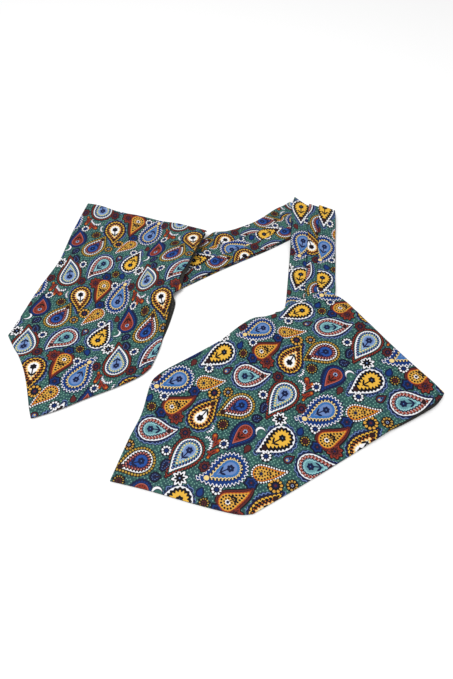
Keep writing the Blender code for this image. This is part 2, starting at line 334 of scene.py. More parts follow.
@dataclass(frozen=True)
class Place:
    """Where measures along and to the left of a line start, and which way they run."""

    origin: Point
    heading: float

    def axes(self) -> tuple[Array, Array]:
        """The unit steps along and to the left.

        Returns:
            Two directions on the table.
        """
        turn = math.radians(self.heading)
        along = np.array([math.cos(turn), math.sin(turn)])
        return along, np.array([-along[1], along[0]])

    def out(self, local: Array) -> Array:
        """Turns distances along and to the left into places on the table.

        Args:
            local: distances along and to the left.
        Returns:
            Places on the table.
        """
        along, left = self.axes()
        return np.array(self.origin) + local[..., :1] * along + local[..., 1:2] * left

    def back(self, plan: Array) -> Array:
        """Turns places on the table into distances along and to the left.

        Args:
            plan: places on the table.
        Returns:
            Distances along and to the left.
        """
        along, left = self.axes()
        gap = plan - np.array(self.origin)
        return np.stack([gap @ along, gap @ left], -1)


NEAR_PLACE = Place((-86.8, -167.4), 30.5)
FAR_PLACE = Place((-165.8, -112.6), 77.4)


@dataclass(frozen=True)
class Crease:
    """A soft ridge, or a trough where its height is below zero, along a line on a piece."""

    line: Line
    height: float
    width: float
    fade: float = 0.3

    def lift(self, local: Array) -> Array:
        """Height that the crease adds: a bell across it that fades at both ends.

        Args:
            local: distances along and to the left.
        Returns:
            Heights in millimetres.
        """
        gap, share = to_line(local, curve(self.line))
        ends = smooth(share, 0.0, self.fade) * smooth(share, 1.0, 1.0 - self.fade)
        return self.height * ends * np.exp(-((gap / self.width) ** 2))


def creased(local: Array, creases: tuple[Crease, ...]) -> Array:
    """Height that all of a piece's creases add.

    Args:
        local: distances along and to the left.
        creases: the creases.
    Returns:
        Heights in millimetres.
    """
    total = np.zeros(local.shape[:-1])
    for crease in creases:
        total += crease.lift(local)
    return total


@dataclass(frozen=True)
class PrintLay:
    """How the print lies on a piece: places read off it, with their place in the repeat."""

    place: Place
    pins: tuple[tuple[Point, Point], ...]
    ease: float = 0.02

    def spread(self, plan: Array) -> Array:
        """Place in the print of each place on the table.

        A thin plate is bent through the pins: an even stretch and turn, plus a share of
        r squared times the logarithm of r for each pin at distance r.

        Args:
            plan: places on the table.
        Returns:
            Places in the print, in millimetres of cloth.
        """
        known = np.array([pin[0] for pin in self.pins], float) / REPEAT
        wanted = np.array([pin[1] for pin in self.pins], float)
        count = len(known)
        flat = np.hstack([np.ones((count, 1)), known])
        system = np.zeros((count + 3, count + 3))
        system[:count, :count] = self.plate(known, known) + self.ease * np.eye(count)
        system[:count, count:] = flat
        system[count:, :count] = flat.T
        shares = np.linalg.solve(system, np.vstack([wanted, np.zeros((3, 2))]))
        spots = self.place.back(plan).reshape(-1, 2) / REPEAT
        even = shares[count] + spots @ shares[count + 1 :]
        bent = self.plate(spots, known) @ shares[:count]
        return (even + bent).reshape(plan.shape)

    @staticmethod
    def plate(spots: Array, known: Array) -> Array:
        """Bending shape of a thin plate between two sets of places.

        Args:
            spots: places, one a row.
            known: pins, one a row.
        Returns:
            One row for each place and one column for each pin.
        """
        square = ((spots[:, None] - known[None]) ** 2).sum(-1)
        return 0.5 * square * np.log(square + 1e-9)


NEAR_LAY = PrintLay(
    Place((-85.6, -166.6), 32.2),
    (
        ((189, -46), (46, 189.5)), ((87.5, -44), (46, 89.5)), ((141, -46.5), (46.5, 141)),
        ((244.4, -46.3), (46.5, 241)), ((240.6, 54.0), (-53.5, 241)), ((291, 53.6), (-53.7, 290.3)), ((146.5, 21.5), (-21.5, 146.5)),
        ((47.5, 22.5), (-21.5, 46.5)), ((248, 22.5), (-21.5, 246.5)), ((252, -80), (78.5, 246.5)),
        ((168, -13.5), (13.5, 168)), ((67, -13), (13.5, 68)), ((272.5, -12.5), (13.5, 268)),
        ((128, -1.5), (1.5, 127.5)), ((28, 1), (1.5, 27.5)), ((227.5, 1.3), (1.5, 227.5)),
        ((177, 37.5), (-33, 173.5)), ((74, 32), (-33, 73.5)), ((277.2, 36.8), (-33, 273.4)),
        ((173, -67.5), (67, 173.5)), ((72.8, -65), (67, 73.5)), ((282.5, -65), (67, 273.5)),
        ((110.5, 36), (-38, 108.5)), ((208.8, 42.5), (-38, 208.5)), ((108, -62), (62, 108.5)),
        ((210, -63.1), (62, 208.5)), ((192, 11), (-10, 190.5)), ((89.5, 8), (-10, 90.5)),
        ((193.1, 58.1), (-54, 189.5)), ((117, -24.5), (24.5, 116.5)), ((220, -23.8), (24.5, 216.5)),
    ),
)
FAR_LAY = PrintLay(
    FAR_PLACE,
    (
        ((142.5, -30), (46, 189.5)), ((240.7, -33.3), (46.3, 90.3)), ((46.3, -24.4), (46, 289.5)),
        ((158, -8), (67, 173.5)), ((261.6, -12.2), (67.8, 73.5)), ((62.5, -5), (67, 273.5)),
        ((142.5, 13), (90, 190.5)), ((241.7, 10.9), (90.3, 90.5)), ((50, 22), (90, 290.5)),
        ((189.4, 5.6), (78.5, 146.5)), ((88, 5.3), (78.5, 246.5)), ((193, -25.6), (46.5, 141)),
        ((91.3, -27.3), (46.5, 241)), ((208, 25.6), (101.5, 127.5)), ((107.5, 24.4), (101.5, 227.5)),
        ((215.6, -68.8), (1.5, 127.5)), ((111.3, -71.3), (1.5, 227.5)), ((163.8, 35.6), (113.5, 168)),
        ((270.9, 38.5), (113.3, 68.2)), ((68.8, 42.5), (113.5, 268)), ((174.4, -50.6), (13.5, 168)),
        ((68, -55), (13.5, 268)), ((265.2, -63.3), (13.3, 68.2)), ((213.8, 47.5), (124.5, 116.5)),
        ((114, 47.5), (124.5, 216.5)), ((214.6, -48.1), (24.5, 116.5)), ((113.8, -49.4), (24.5, 216.5)),
        ((155.6, -73.8), (-10, 190.5)), ((244, -85.3), (-9.7, 90.5)), ((222.5, -15.6), (62, 108.5)),
        ((121.9, -14.4), (62, 208.5)), ((27.5, -6.3), (62, 308.5)), ((259.5, -45.5), (33.5, 72.5)),
        ((265.9, 4.3), (79, 72)), ((266.1, 19.5), (96.5, 72.5)), ((262.9, 57.7), (133.5, 72.5)),
    ),
)
FAR_BAND = Place((-60, 20), 29.4)
NEAR_BAND = Place((145, 195), -97.4)
FAR_STRIP_LAYS = (
    PrintLay(FAR_BAND, (((161, 53.8), (1.5, 127.5)), ((105.6, 51.9), (-6, 190.5)), ((161, 33.8), (-18.5, 127.5)))),
    PrintLay(
        FAR_BAND,
        (
            ((150, 32.5), (46.5, 141)), ((104.4, 28.4), (46, 189.5)), ((57, 36), (46.5, 241)),
            ((150, 52.5), (66.5, 141)),
        ),
    ),
    PrintLay(
        FAR_BAND,
        (
            ((76.9, 21.5), (1.5, 227.5)), ((110.6, 11.9), (-10, 190.5)), ((173, 23), (1.5, 127.5)),
            ((76.9, 1.5), (-18.5, 227.5)),
        ),
    ),
)
NEAR_STRIP_LAYS = (
    PrintLay(
        NEAR_BAND,
        (
            ((141.3, -33.8), (46.5, 141)), ((92.8, -33.8), (46, 189.5)), ((33, -38), (46.5, 241)),
            ((92.8, -53.8), (26, 189.5)), ((186.7, -41.5), (46.3, 90.3)),
        ),
    ),
    PrintLay(
        NEAR_BAND,
        (
            ((100, -23.8), (-10, 190.5)), ((100, -3.8), (10, 190.5)), ((163, -14), (1.5, 127.5)),
            ((60, -14), (1.5, 227.5)),
        ),
    ),
    PrintLay(
        NEAR_BAND,
        (
            ((146, -10.6), (46.5, 141)), ((99.4, -8.8), (46, 189.5)), ((34, -9), (46.5, 241)),
            ((99.4, 6.2), (61, 189.5)),
        ),
    ),
)


def srgb(code: str) -> Colour:
    """Turns a colour code into the linear numbers that a shader takes.

    Args:
        code: six hexadecimal digits.
    Returns:
        Red, green and blue.
    """
    parts = [int(code[k : k + 2], 16) / 255.0 for k in (0, 2, 4)]
    return tuple(c / 12.92 if c <= 0.04045 else ((c + 0.055) / 1.055) ** 2.4 for c in parts)


class Dye(Enum):
    """Colours of the print."""

    GROUND = srgb("36635a")
    GROUND_DOT = srgb("8fbfae")
    NAVY = srgb("131c42")
    BLACK = srgb("100e18")
    ROYAL = srgb("12377a")
    SKY = srgb("5583c0")
    AZURE = srgb("3b70b0")
    COBALT = srgb("244f9c")
    ICE = srgb("99b0d4")
    LAVENDER = srgb("6c88bd")
    CONTOUR = srgb("647eae")
    AQUA = srgb("90c6ca")
    LAGOON = srgb("689aa3")
    GOLD = srgb("dea946")
    YELLOW = srgb("ecb843")
    OLIVE = srgb("b8943a")
    ORANGE = srgb("cf7420")
    CREAM = srgb("f1d48d")
    RUST = srgb("8f3524")
    MAROON = srgb("5f2626")
    PINK = srgb("bb6c65")
    ROSE = srgb("c7a09c")
    BROWN = srgb("2e1619")
    WHITE = srgb("f7f7fa")


@dataclass(frozen=True)
class Ring:
    """A band of one colour round a motif, from a depth inside its outline inwards."""

    dye: Dye
    start: float
    tooth: float = 0.0


@dataclass(frozen=True)
class Beads:
    """A row of dots that follows a motif's outline at a depth inside it."""

    dye: Dye
    depth: float
    radius: float
    spacing: float


@dataclass(frozen=True)
class Mark:
    """A small figure on a motif's middle line, at a distance from the head's middle.

    Petals are how far a flower's six petals stick out. Spread widens the figure, lean
    tilts its two halves towards the head, and apart moves them to either side.
    """

    dye: Dye
    along: float
    radius: float
    petals: float = 0.0
    spread: float = 1.0
    lean: float = 0.0
    apart: float = 0.0


@dataclass(frozen=True)
class Design:
    """All that is printed within a motif's outline, and just outside it."""

    rings: tuple[Ring, ...]
    beads: tuple[Beads, ...] = ()
    marks: tuple[Mark, ...] = ()
    tooth_length: float = 2.4
    tooth_depth: float = 0.0


CHAIN = (Ring(Dye.NAVY, -3.5, 0.4), Ring(Dye.CONTOUR, -2.8, 0.5), Ring(Dye.NAVY, -1.9, 0.5))


def posy(eye: Dye, stem: Dye, leaf: float, tip: float, tip_radius: float) -> tuple[Mark, ...]:
    """The flower with two leaves on its stem that fills most of the drops.

    Args:
        eye: colour of the flower's eye.
        stem: colour of the flower, stem and leaves.
        leaf: how far the leaves' foot is from the head's middle.
        tip: how far the bead in the drop's tip is from the head's middle.
        tip_radius: radius of that bead.
    Returns:
        The figures, in the order in which they are printed.
    """
    return (
        Mark(stem, 0.0, 3.0, 0.35),
        Mark(eye, 0.0, 0.55),
        Mark(stem, leaf * 0.6, leaf * 0.6, 0.0, 0.1),
        Mark(stem, leaf, 1.25, 0.0, 1.35, 1.0, 1.8),
        Mark(Dye.BROWN, tip, tip_radius),
    )


class Kind(Enum):
    """The motifs of the print, as charted from one repeat."""

    ZIGZAG = Design(
        (
            Ring(Dye.NAVY, -1.4, 1.0), Ring(Dye.WHITE, 0.0, 1.0), Ring(Dye.ROYAL, 0.85, 0.9),
            Ring(Dye.NAVY, 3.6, 0.5), Ring(Dye.CREAM, 5.2, 0.4), Ring(Dye.AZURE, 5.9, 0.3),
            Ring(Dye.LAVENDER, 8.0),
        ),
        (Beads(Dye.CREAM, 4.4, 0.6, 3.0),),
        (*posy(Dye.SKY, Dye.NAVY, 9.0, 21.0, 0.0)[:4], Mark(Dye.CREAM, 21.5, 2.3, 0.0, 0.85)),
        3.4,
    )
    GOLDEN = Design(
        (
            *CHAIN, Ring(Dye.WHITE, 0.0), Ring(Dye.BLACK, 1.2, 0.6), Ring(Dye.YELLOW, 4.1, 0.9),
        ),
        (Beads(Dye.CONTOUR, -0.9, 0.35, 2.6),),
        posy(Dye.LAVENDER, Dye.BLACK, 9.6, 18.6, 2.1),
        3.3,
        3.4,
    )
    LAGOON = Design(
        (
            *CHAIN, Ring(Dye.WHITE, 0.0), Ring(Dye.BLACK, 1.0, 0.3), Ring(Dye.ROSE, 1.7, 0.2),
            Ring(Dye.NAVY, 3.7, 0.4), Ring(Dye.AQUA, 4.7, 0.3), Ring(Dye.LAGOON, 5.9, 0.4),
        ),
        (Beads(Dye.RUST, 2.5, 1.0, 2.9), Beads(Dye.BLACK, 3.6, 0.55, 2.9)),
        posy(Dye.SKY, Dye.NAVY, 8.6, 16.8, 1.9),
        2.9,
        3.0,
    )
    COLLAR = Design(
        (
            Ring(Dye.BLACK, -0.9, 0.3), Ring(Dye.RUST, 0.1, 0.3), Ring(Dye.BLACK, 1.3, 0.3),
            Ring(Dye.GROUND, 1.9), Ring(Dye.WHITE, 2.5, 0.1), Ring(Dye.NAVY, 3.6, 0.35),
            Ring(Dye.LAGOON, 5.5, 0.4), Ring(Dye.ICE, 7.7, 0.3), Ring(Dye.LAVENDER, 8.7),
        ),
        (
            Beads(Dye.LAVENDER, 4.5, 0.6, 2.6), Beads(Dye.CREAM, 6.6, 0.75, 2.5),
            Beads(Dye.BLACK, 0.7, 0.5, 2.6),
        ),
        posy(Dye.LAVENDER, Dye.NAVY, 8.8, 20.0, 0.0)[:4],
        2.8,
        2.5,
    )
    SAPPHIRE = Design(
        (
            Ring(Dye.BLACK, -1.0), Ring(Dye.WHITE, 2.2, 0.1),
            Ring(Dye.BLACK, 3.1, 0.6), Ring(Dye.NAVY, 5.6, 0.4), Ring(Dye.COBALT, 6.7, 0.3),
        ),
        (
            Beads(Dye.OLIVE, 0.5, 0.95, 2.6), Beads(Dye.PINK, 4.7, 0.8, 2.6), Beads(Dye.RUST, 5.9, 0.45, 2.4),
        ),
        posy(Dye.SKY, Dye.NAVY, 8.0, 18.2, 2.3),
        2.8,
        3.0,
    )
    AMBER = Design(
        (
            Ring(Dye.BLACK, -1.1), Ring(Dye.MAROON, -0.1), Ring(Dye.BLACK, 1.1, 0.2), Ring(Dye.RUST, 1.5),
            Ring(Dye.ORANGE, 2.3, 0.2), Ring(Dye.GOLD, 2.9, 0.2),
        ),
        (Beads(Dye.BLACK, 4.3, 0.9, 2.5), Beads(Dye.BROWN, 6.7, 0.75, 2.3)),
        (Mark(Dye.WHITE, 0.0, 1.9, 0.3), Mark(Dye.NAVY, 0.0, 1.2), *posy(Dye.NAVY, Dye.BLACK, 7.6, 0, 0)[2:4]),
        2.6,
    )
    SEED = Design(
        (Ring(Dye.BLACK, -1.1), Ring(Dye.ORANGE, 1.0), Ring(Dye.GOLD, 1.9)),
        (
            Beads(Dye.WHITE, 0.1, 0.68, 2.1), Beads(Dye.BLACK, 2.6, 0.85, 2.5),
            Beads(Dye.BROWN, 5.0, 0.75, 2.3),
        ),
        (Mark(Dye.OLIVE, 0.0, 2.1), Mark(Dye.NAVY, 0.0, 1.5, 0.3), Mark(Dye.BLACK, 9.0, 0.9, 0.0, 0.9, 1.7, 1.0)),
    )
    SUN = Design(
        (
            *CHAIN, Ring(Dye.BROWN, -0.3), Ring(Dye.YELLOW, 0.2), Ring(Dye.BLACK, 1.4, 0.4),
            Ring(Dye.ORANGE, 4.1, 0.6), Ring(Dye.CREAM, 4.7, 0.6), Ring(Dye.WHITE, 6.0, 0.4),
        ),
        (Beads(Dye.ORANGE, 2.7, 0.5, 3.0), Beads(Dye.BROWN, 0.5, 0.65, 3.2)),
        posy(Dye.BLACK, Dye.BLACK, 9.5, 17.2, 2.2),
        3.2,
        3.4,
    )
    HEART = Design(
        (
            Ring(Dye.NAVY, -1.1, 0.4), Ring(Dye.ROYAL, 0.9, 0.3), Ring(Dye.NAVY, 2.2), Ring(Dye.PINK, 2.9),
            Ring(Dye.RUST, 3.4),
        ),
        (Beads(Dye.NAVY, 1.3, 0.5, 2.4), Beads(Dye.BROWN, 4.9, 0.55, 2.2), Beads(Dye.BLACK, 7.0, 0.4, 2.0)),
        (Mark(Dye.ICE, 0.0, 1.9, 0.2), Mark(Dye.NAVY, 0.0, 1.1), *posy(Dye.NAVY, Dye.BROWN, 7.6, 0, 0)[2:4]),
        2.6,
    )
    WHITE_FLOWER = Design(
        (Ring(Dye.BLACK, -1.0, 0.5), Ring(Dye.NAVY, 2.0)),
        (Beads(Dye.WHITE, 0.8, 1.0, 2.63),),
        (Mark(Dye.ROYAL, 0.0, 1.2, 0.25), Mark(Dye.NAVY, 0.0, 0.6)),
        3.3,
    )
    STAR_FLOWER = Design(
        (Ring(Dye.BLACK, -1.0, 1.0), Ring(Dye.WHITE, 0.0, 1.3), Ring(Dye.BLACK, 1.9, 1.0)),
        (),
        (Mark(Dye.LAVENDER, 0.0, 0.7),),
        4.56,
    )
    RUST_FLOWER = Design(
        (Ring(Dye.BLACK, -0.4, 0.8), Ring(Dye.RUST, 0.8, 0.8), Ring(Dye.MAROON, 2.4, 0.6), Ring(Dye.BLACK, 4.0, 0.4)),
        (Beads(Dye.BLACK, 1.9, 0.5, 2.63),),
        (Mark(Dye.MAROON, 0.0, 1.9, 0.3), Mark(Dye.NAVY, 0.0, 1.1)),
        5.26,
    )
    RUST_BLOSSOM = Design(
        (Ring(Dye.BLACK, -0.5, 0.5), Ring(Dye.MAROON, 0.5, 0.5), Ring(Dye.BLACK, 2.3, 0.3), Ring(Dye.NAVY, 3.1)),
        (Beads(Dye.BLACK, 1.4, 0.4, 2.2),),
        (Mark(Dye.MAROON, 0.0, 1.0),),
        3.93,
    )
    NAVY_FLOWER = Design(
        (Ring(Dye.BLACK, -0.4, 0.6), Ring(Dye.NAVY, 0.5, 0.6), Ring(Dye.ROYAL, 1.6, 0.5), Ring(Dye.NAVY, 2.6, 0.4)),
        (),
        (Mark(Dye.MAROON, 0.0, 0.8),),
        5.65,
    )
    GOLD_FLOWER = Design(
        (Ring(Dye.BLACK, -1.1, 0.5), Ring(Dye.NAVY, 3.3)),
        (Beads(Dye.GOLD, 0.9, 1.2, 3.28), Beads(Dye.ORANGE, 1.2, 0.4, 3.28)),
        (Mark(Dye.MAROON, 0.0, 1.1, 0.2),),
        4.11,
    )
    ROSETTE = Design(
        (Ring(Dye.BLACK, -0.8), Ring(Dye.BROWN, 2.5)),
        (Beads(Dye.GOLD, 0.9, 0.9, 2.75), Beads(Dye.NAVY, 0.9, 0.35, 2.75)),
        (Mark(Dye.ICE, 0.0, 1.1, 0.2), Mark(Dye.NAVY, 0.0, 0.7)),
        3.3,
    )
    SPRAY = Design(
        (Ring(Dye.BLACK, -0.6, 0.6), Ring(Dye.BROWN, 1.8, 0.4)),
        (Beads(Dye.OLIVE, 1.0, 0.6, 2.4), Beads(Dye.MAROON, 3.0, 0.6, 2.2)),
        (),
        3.4,
    )
    NAVY_LEAF = Design(
        (Ring(Dye.BLACK, -0.6, 0.3), Ring(Dye.NAVY, 0.3, 0.3)),
        (Beads(Dye.CONTOUR, 1.7, 0.4, 1.9),),
        (Mark(Dye.BROWN, 2.5, 2.4, 0.0, 0.2),),
        2.2,
    )
    ROYAL_LEAF = Design((Ring(Dye.NAVY, -0.7), Ring(Dye.ROYAL, 0.6)))
    RUST_LEAF = Design((Ring(Dye.BLACK, -0.2, 0.3), Ring(Dye.MAROON, 0.6, 0.3)), (), (), 2.0)
    CHARM = Design(
        (Ring(Dye.BLACK, -0.5), Ring(Dye.MAROON, 0.3), Ring(Dye.NAVY, 0.9), Ring(Dye.CONTOUR, 1.6)),
        (),
        (Mark(Dye.YELLOW, -0.6, 0.8), Mark(Dye.NAVY, 2.0, 0.8)),
    )
    CRESCENT = Design(
        (Ring(Dye.NAVY, -0.7), Ring(Dye.WHITE, 0.0)), (),
        (Mark(Dye.NAVY, 1.7, 4.1), Mark(Dye.GROUND, 2.2, 4.0), Mark(Dye.GROUND_DOT, 2.2, 0.7, 0.4)),
    )
    FEATHER = Design(
        (Ring(Dye.BLACK, -0.7), Ring(Dye.RUST, 0.1, 0.2)),
        (),
        (Mark(Dye.ORANGE, -0.3, 1.0), Mark(Dye.BROWN, 3.4, 1.6, 0.0, 0.25)),
        2.2,
    )
    FERN = Design(
        (Ring(Dye.NAVY, -0.5), Ring(Dye.WHITE, 0.2, 0.6)), (), (), 2.0
    )


KINDS = tuple(Kind)
KIND_SLOTS = 32


@dataclass(frozen=True)
class Motif:
    """One motif in the repeat: its head, the point of its tip and how it bends between."""

    kind: Kind
    head: Point
    tip: Point
    radius: float
    bend: float = 0.0
    end: float = 0.4
    swell: float = 0.2
    arch: float = 0.0

    def measures(self) -> tuple[float, float, float]:
        """Radius of the head, radius of the tip, and distance between their middles.

        Returns:
            The three lengths in millimetres.
        """
        length = math.dist(self.head, self.tip)
        if length <= self.radius:
            return self.radius, self.radius, 0.01
        return self.radius, self.end, length - self.end

    def local(self, spots: Array, middle: Array) -> Array:
        """Places in the print, measured from this motif's head with its tip upwards.

        The repeat nearest to each place's face is used. At share t of the length the
        motif's own middle line leaves the straight one by bend times 6.75 t squared
        (1 - t) plus arch times 4 t (1 - t), and its flanks are fuller by swell times
        16 t squared (1 - t) squared.

        Args:
            spots: places in the print.
            middle: the middle of the face that each place belongs to.
        Returns:
            Distances to the right of and along the motif.
        """
        head = np.array(self.head)
        gap = spots - head - REPEAT * np.round((middle - head) / REPEAT)
        _, _, length = self.measures()
        if length < 0.1:
            return gap
        way = (np.array(self.tip) - head) / math.dist(self.head, self.tip)
        along = gap @ way
        right = gap @ np.array([way[1], -way[0]])
        share = np.clip(along / length, 0.0, 1.0)
        across = right - (self.bend * 6.75 * share + self.arch * 4.0) * share * (1.0 - share)
        return np.stack([across / (1.0 + self.swell * 16.0 * (share * (1.0 - share)) ** 2), along], -1)

    def distance(self, local: Array) -> Array:
        """Distance outside the outline, below zero within it.

        The outline is a head circle and a tip circle joined by straight flanks.

        Args:
            local: places measured from the motif's head.
        Returns:
            Distances in millimetres.
        """
        head, tip, length = self.measures()
        slope = (head - tip) / length
        rise = math.sqrt(max(1.0 - slope * slope, 1e-6))
        across = np.abs(local[..., 0])
        along = local[..., 1]
        run = rise * along - slope * across
        flank = rise * across + slope * along - head
        below = np.hypot(across, along) - head
        above = np.hypot(across, along - length) - tip
        return np.where(run < 0.0, below, np.where(run > rise * length, above, flank))


REPEAT_CHART = (
    Motif(Kind.ZIGZAG, (46.3, 190.3), (37.5, 161.0), 13.4, -2.6, 0.8),
    Motif(Kind.GOLDEN, (46.5, 141.0), (44.6, 114.8), 11.0),
    Motif(Kind.LAGOON, (-21.5, 146.5), (-9.5, 168.0), 11.0, 1.8),
    Motif(Kind.COLLAR, (13.3, 168.2), (24.2, 139.5), 13.3, 0.8, 0.9),
    Motif(Kind.SAPPHIRE, (1.5, 127.5), (-3.8, 104.0), 12.0, 0.6),
    Motif(Kind.AMBER, (68.0, 173.0), (67.8, 198.6), 9.5, 2.4, 0.4, 0.05),
    Motif(Kind.SEED, (62.0, 108.3), (72.2, 128.2), 7.4, 0.8, 0.4, 0.1),
    Motif(Kind.SUN, (-9.7, 190.5), (-16.6, 213.5), 11.0, -0.8),
    Motif(Kind.HEART, (24.4, 116.6), (30.2, 96.2), 9.3, 0.8),
    Motif(Kind.WHITE_FLOWER, (3.5, 150.5), (3.5, 150.5), 4.2),
    Motif(Kind.WHITE_FLOWER, (24.0, 196.0), (24.0, 196.0), 4.2),
    Motif(Kind.WHITE_FLOWER, (55.2, 171.0), (55.2, 171.0), 4.2),
    Motif(Kind.WHITE_FLOWER, (52.0, 120.0), (52.0, 120.0), 4.2),
    Motif(Kind.STAR_FLOWER, (31.0, 149.5), (31.0, 149.5), 5.8),
    Motif(Kind.RUST_FLOWER, (-21.0, 172.0), (-21.0, 172.0), 6.7),
    Motif(Kind.RUST_BLOSSOM, (-3.5, 172.5), (-3.5, 172.5), 5.0),
    Motif(Kind.RUST_BLOSSOM, (33.5, 172.5), (33.5, 172.5), 5.0),
    Motif(Kind.NAVY_FLOWER, (-31.5, 162.0), (-31.5, 162.0), 5.4),
    Motif(Kind.NAVY_FLOWER, (64.5, 197.5), (64.5, 197.5), 5.4),
    Motif(Kind.ROYAL_LEAF, (50.5, 157.5), (48.0, 162.0), 2.8, 0.0, 1.2),
    Motif(Kind.SPRAY, (59.0, 156.5), (59.0, 156.5), 4.4),
    Motif(Kind.SPRAY, (7.5, 204.0), (7.5, 204.0), 5.0),
    Motif(Kind.ROSETTE, (-17.0, 124.0), (-17.0, 124.0), 4.5),
    Motif(Kind.GOLD_FLOWER, (-24.0, 112.5), (-24.0, 112.5), 5.6),
    Motif(Kind.CHARM, (-36.0, 133.5), (-35.2, 140.5), 3.3),
    Motif(Kind.NAVY_LEAF, (14.0, 145.5), (17.5, 138.5), 3.9, 0.0, 2.6),
    Motif(Kind.NAVY_LEAF, (19.5, 131.5), (22.0, 136.5), 3.8, 0.0, 1.8),
    Motif(Kind.RUST_LEAF, (38.2, 111.0), (40.5, 106.0), 2.9, 0.0, 1.0),
    Motif(Kind.CRESCENT, (31.6, 127.8), (36.1, 127.0), 4.4, 0.0, 4.3),
    Motif(Kind.FEATHER, (13.1, 193.4), (19.2, 190.8), 2.2, 0.6, 1.0),
    Motif(Kind.FEATHER, (19.8, 194.2), (21.2, 186.0), 1.9, 0.8, 1.2),
    Motif(Kind.FEATHER, (26.3, 188.6), (23.0, 180.6), 1.9, -1.0, 1.2),
    Motif(Kind.FEATHER, (27.4, 179.0), (24.0, 186.0), 1.2, 0.0, 1.0),
    Motif(Kind.FERN, (16.6, 188.2), (21.8, 182.2), 0.9, -0.9, 0.8),
    Motif(Kind.FERN, (15.6, 188.4), (9.4, 185.6), 0.9, 1.4, 0.8),
    Motif(Kind.FERN, (4.0, 196.6), (6.4, 189.0), 0.9, 0.0, 0.8, 0.0, -1.4),
)


def print_attributes(corners: Array) -> tuple[Array, Array]:
    """Gives each face the motif whose outline is nearest, measured from its own head.

    Args:
        corners: place in the print of each face's corners.
    Returns:
        For each face corner, the place in the motif with the motif's kind, and the
        motif's head radius, tip radius and length.
    """
    middle = corners.mean(axis=1)
    gaps = np.stack([motif.distance(motif.local(middle, middle)) for motif in REPEAT_CHART])
    chosen = gaps.argmin(axis=0)
    places = np.zeros(corners.shape[:2] + (3,))
    forms = np.zeros_like(places)
    for index, motif in enumerate(REPEAT_CHART):
        mine = chosen == index
        places[mine, :, :2] = motif.local(corners[mine], middle[mine][:, None])
        places[mine, :, 2] = KINDS.index(motif.kind)
        forms[mine] = motif.measures()
    return places, forms


class Wire:
    """A value, vector or colour on its way through a shader. Its sums add nodes."""

    def __init__(self, graph: "Graph", socket: bpy.types.NodeSocket) -> None:
        """Wraps one output socket.

        Args:
            graph: the shader that the socket is in.
            socket: the output socket.
        """
        self.graph = graph
        self.socket = socket

    def _sum(self, operation: str, *terms: "Wire | float | Colour") -> "Wire":
        """Adds a Math node, or a Vector Math node if a term is a vector or colour."""
        wires = [t for t in terms if isinstance(t, Wire)]
        flat = all(w.socket.type == "VALUE" for w in wires)
        kind = "ShaderNodeMath" if flat else "ShaderNodeVectorMath"
        return self.graph.node(kind, {"operation": operation}, dict(enumerate(terms)))

    def __add__(self, other):
        return self._sum("ADD", self, other)

    __radd__ = __add__

    def __sub__(self, other):
        return self._sum("SUBTRACT", self, other)

    def __rsub__(self, other):
        return self._sum("SUBTRACT", other, self)

    def __mul__(self, other):
        return self._sum("MULTIPLY", self, other)

    __rmul__ = __mul__

    def __truediv__(self, other):
        return self._sum("DIVIDE", self, other)

    def __rtruediv__(self, other):
        return self._sum("DIVIDE", other, self)

    def __neg__(self):
        return self._sum("MULTIPLY", self, -1.0)

    def __abs__(self):
        return self._sum("ABSOLUTE", self)

    def __gt__(self, other):
        return self._sum("GREATER_THAN", self, other)

    def __lt__(self, other):
        return self._sum("LESS_THAN", self, other)

    def apply(self, operation: str, *others: "Wire | float") -> "Wire":
        """Any other operation of the Math node.

        Args:
            operation: the node's name for it.
            others: the operands after this one.
        Returns:
            The result.
        """
        return self._sum(operation, self, *others)

    def clamped(self) -> "Wire":
        """This value, held between 0 and 1.

        Returns:
            The held value.
        """
        return self.graph.node("ShaderNodeClamp", {}, {"Value": self})


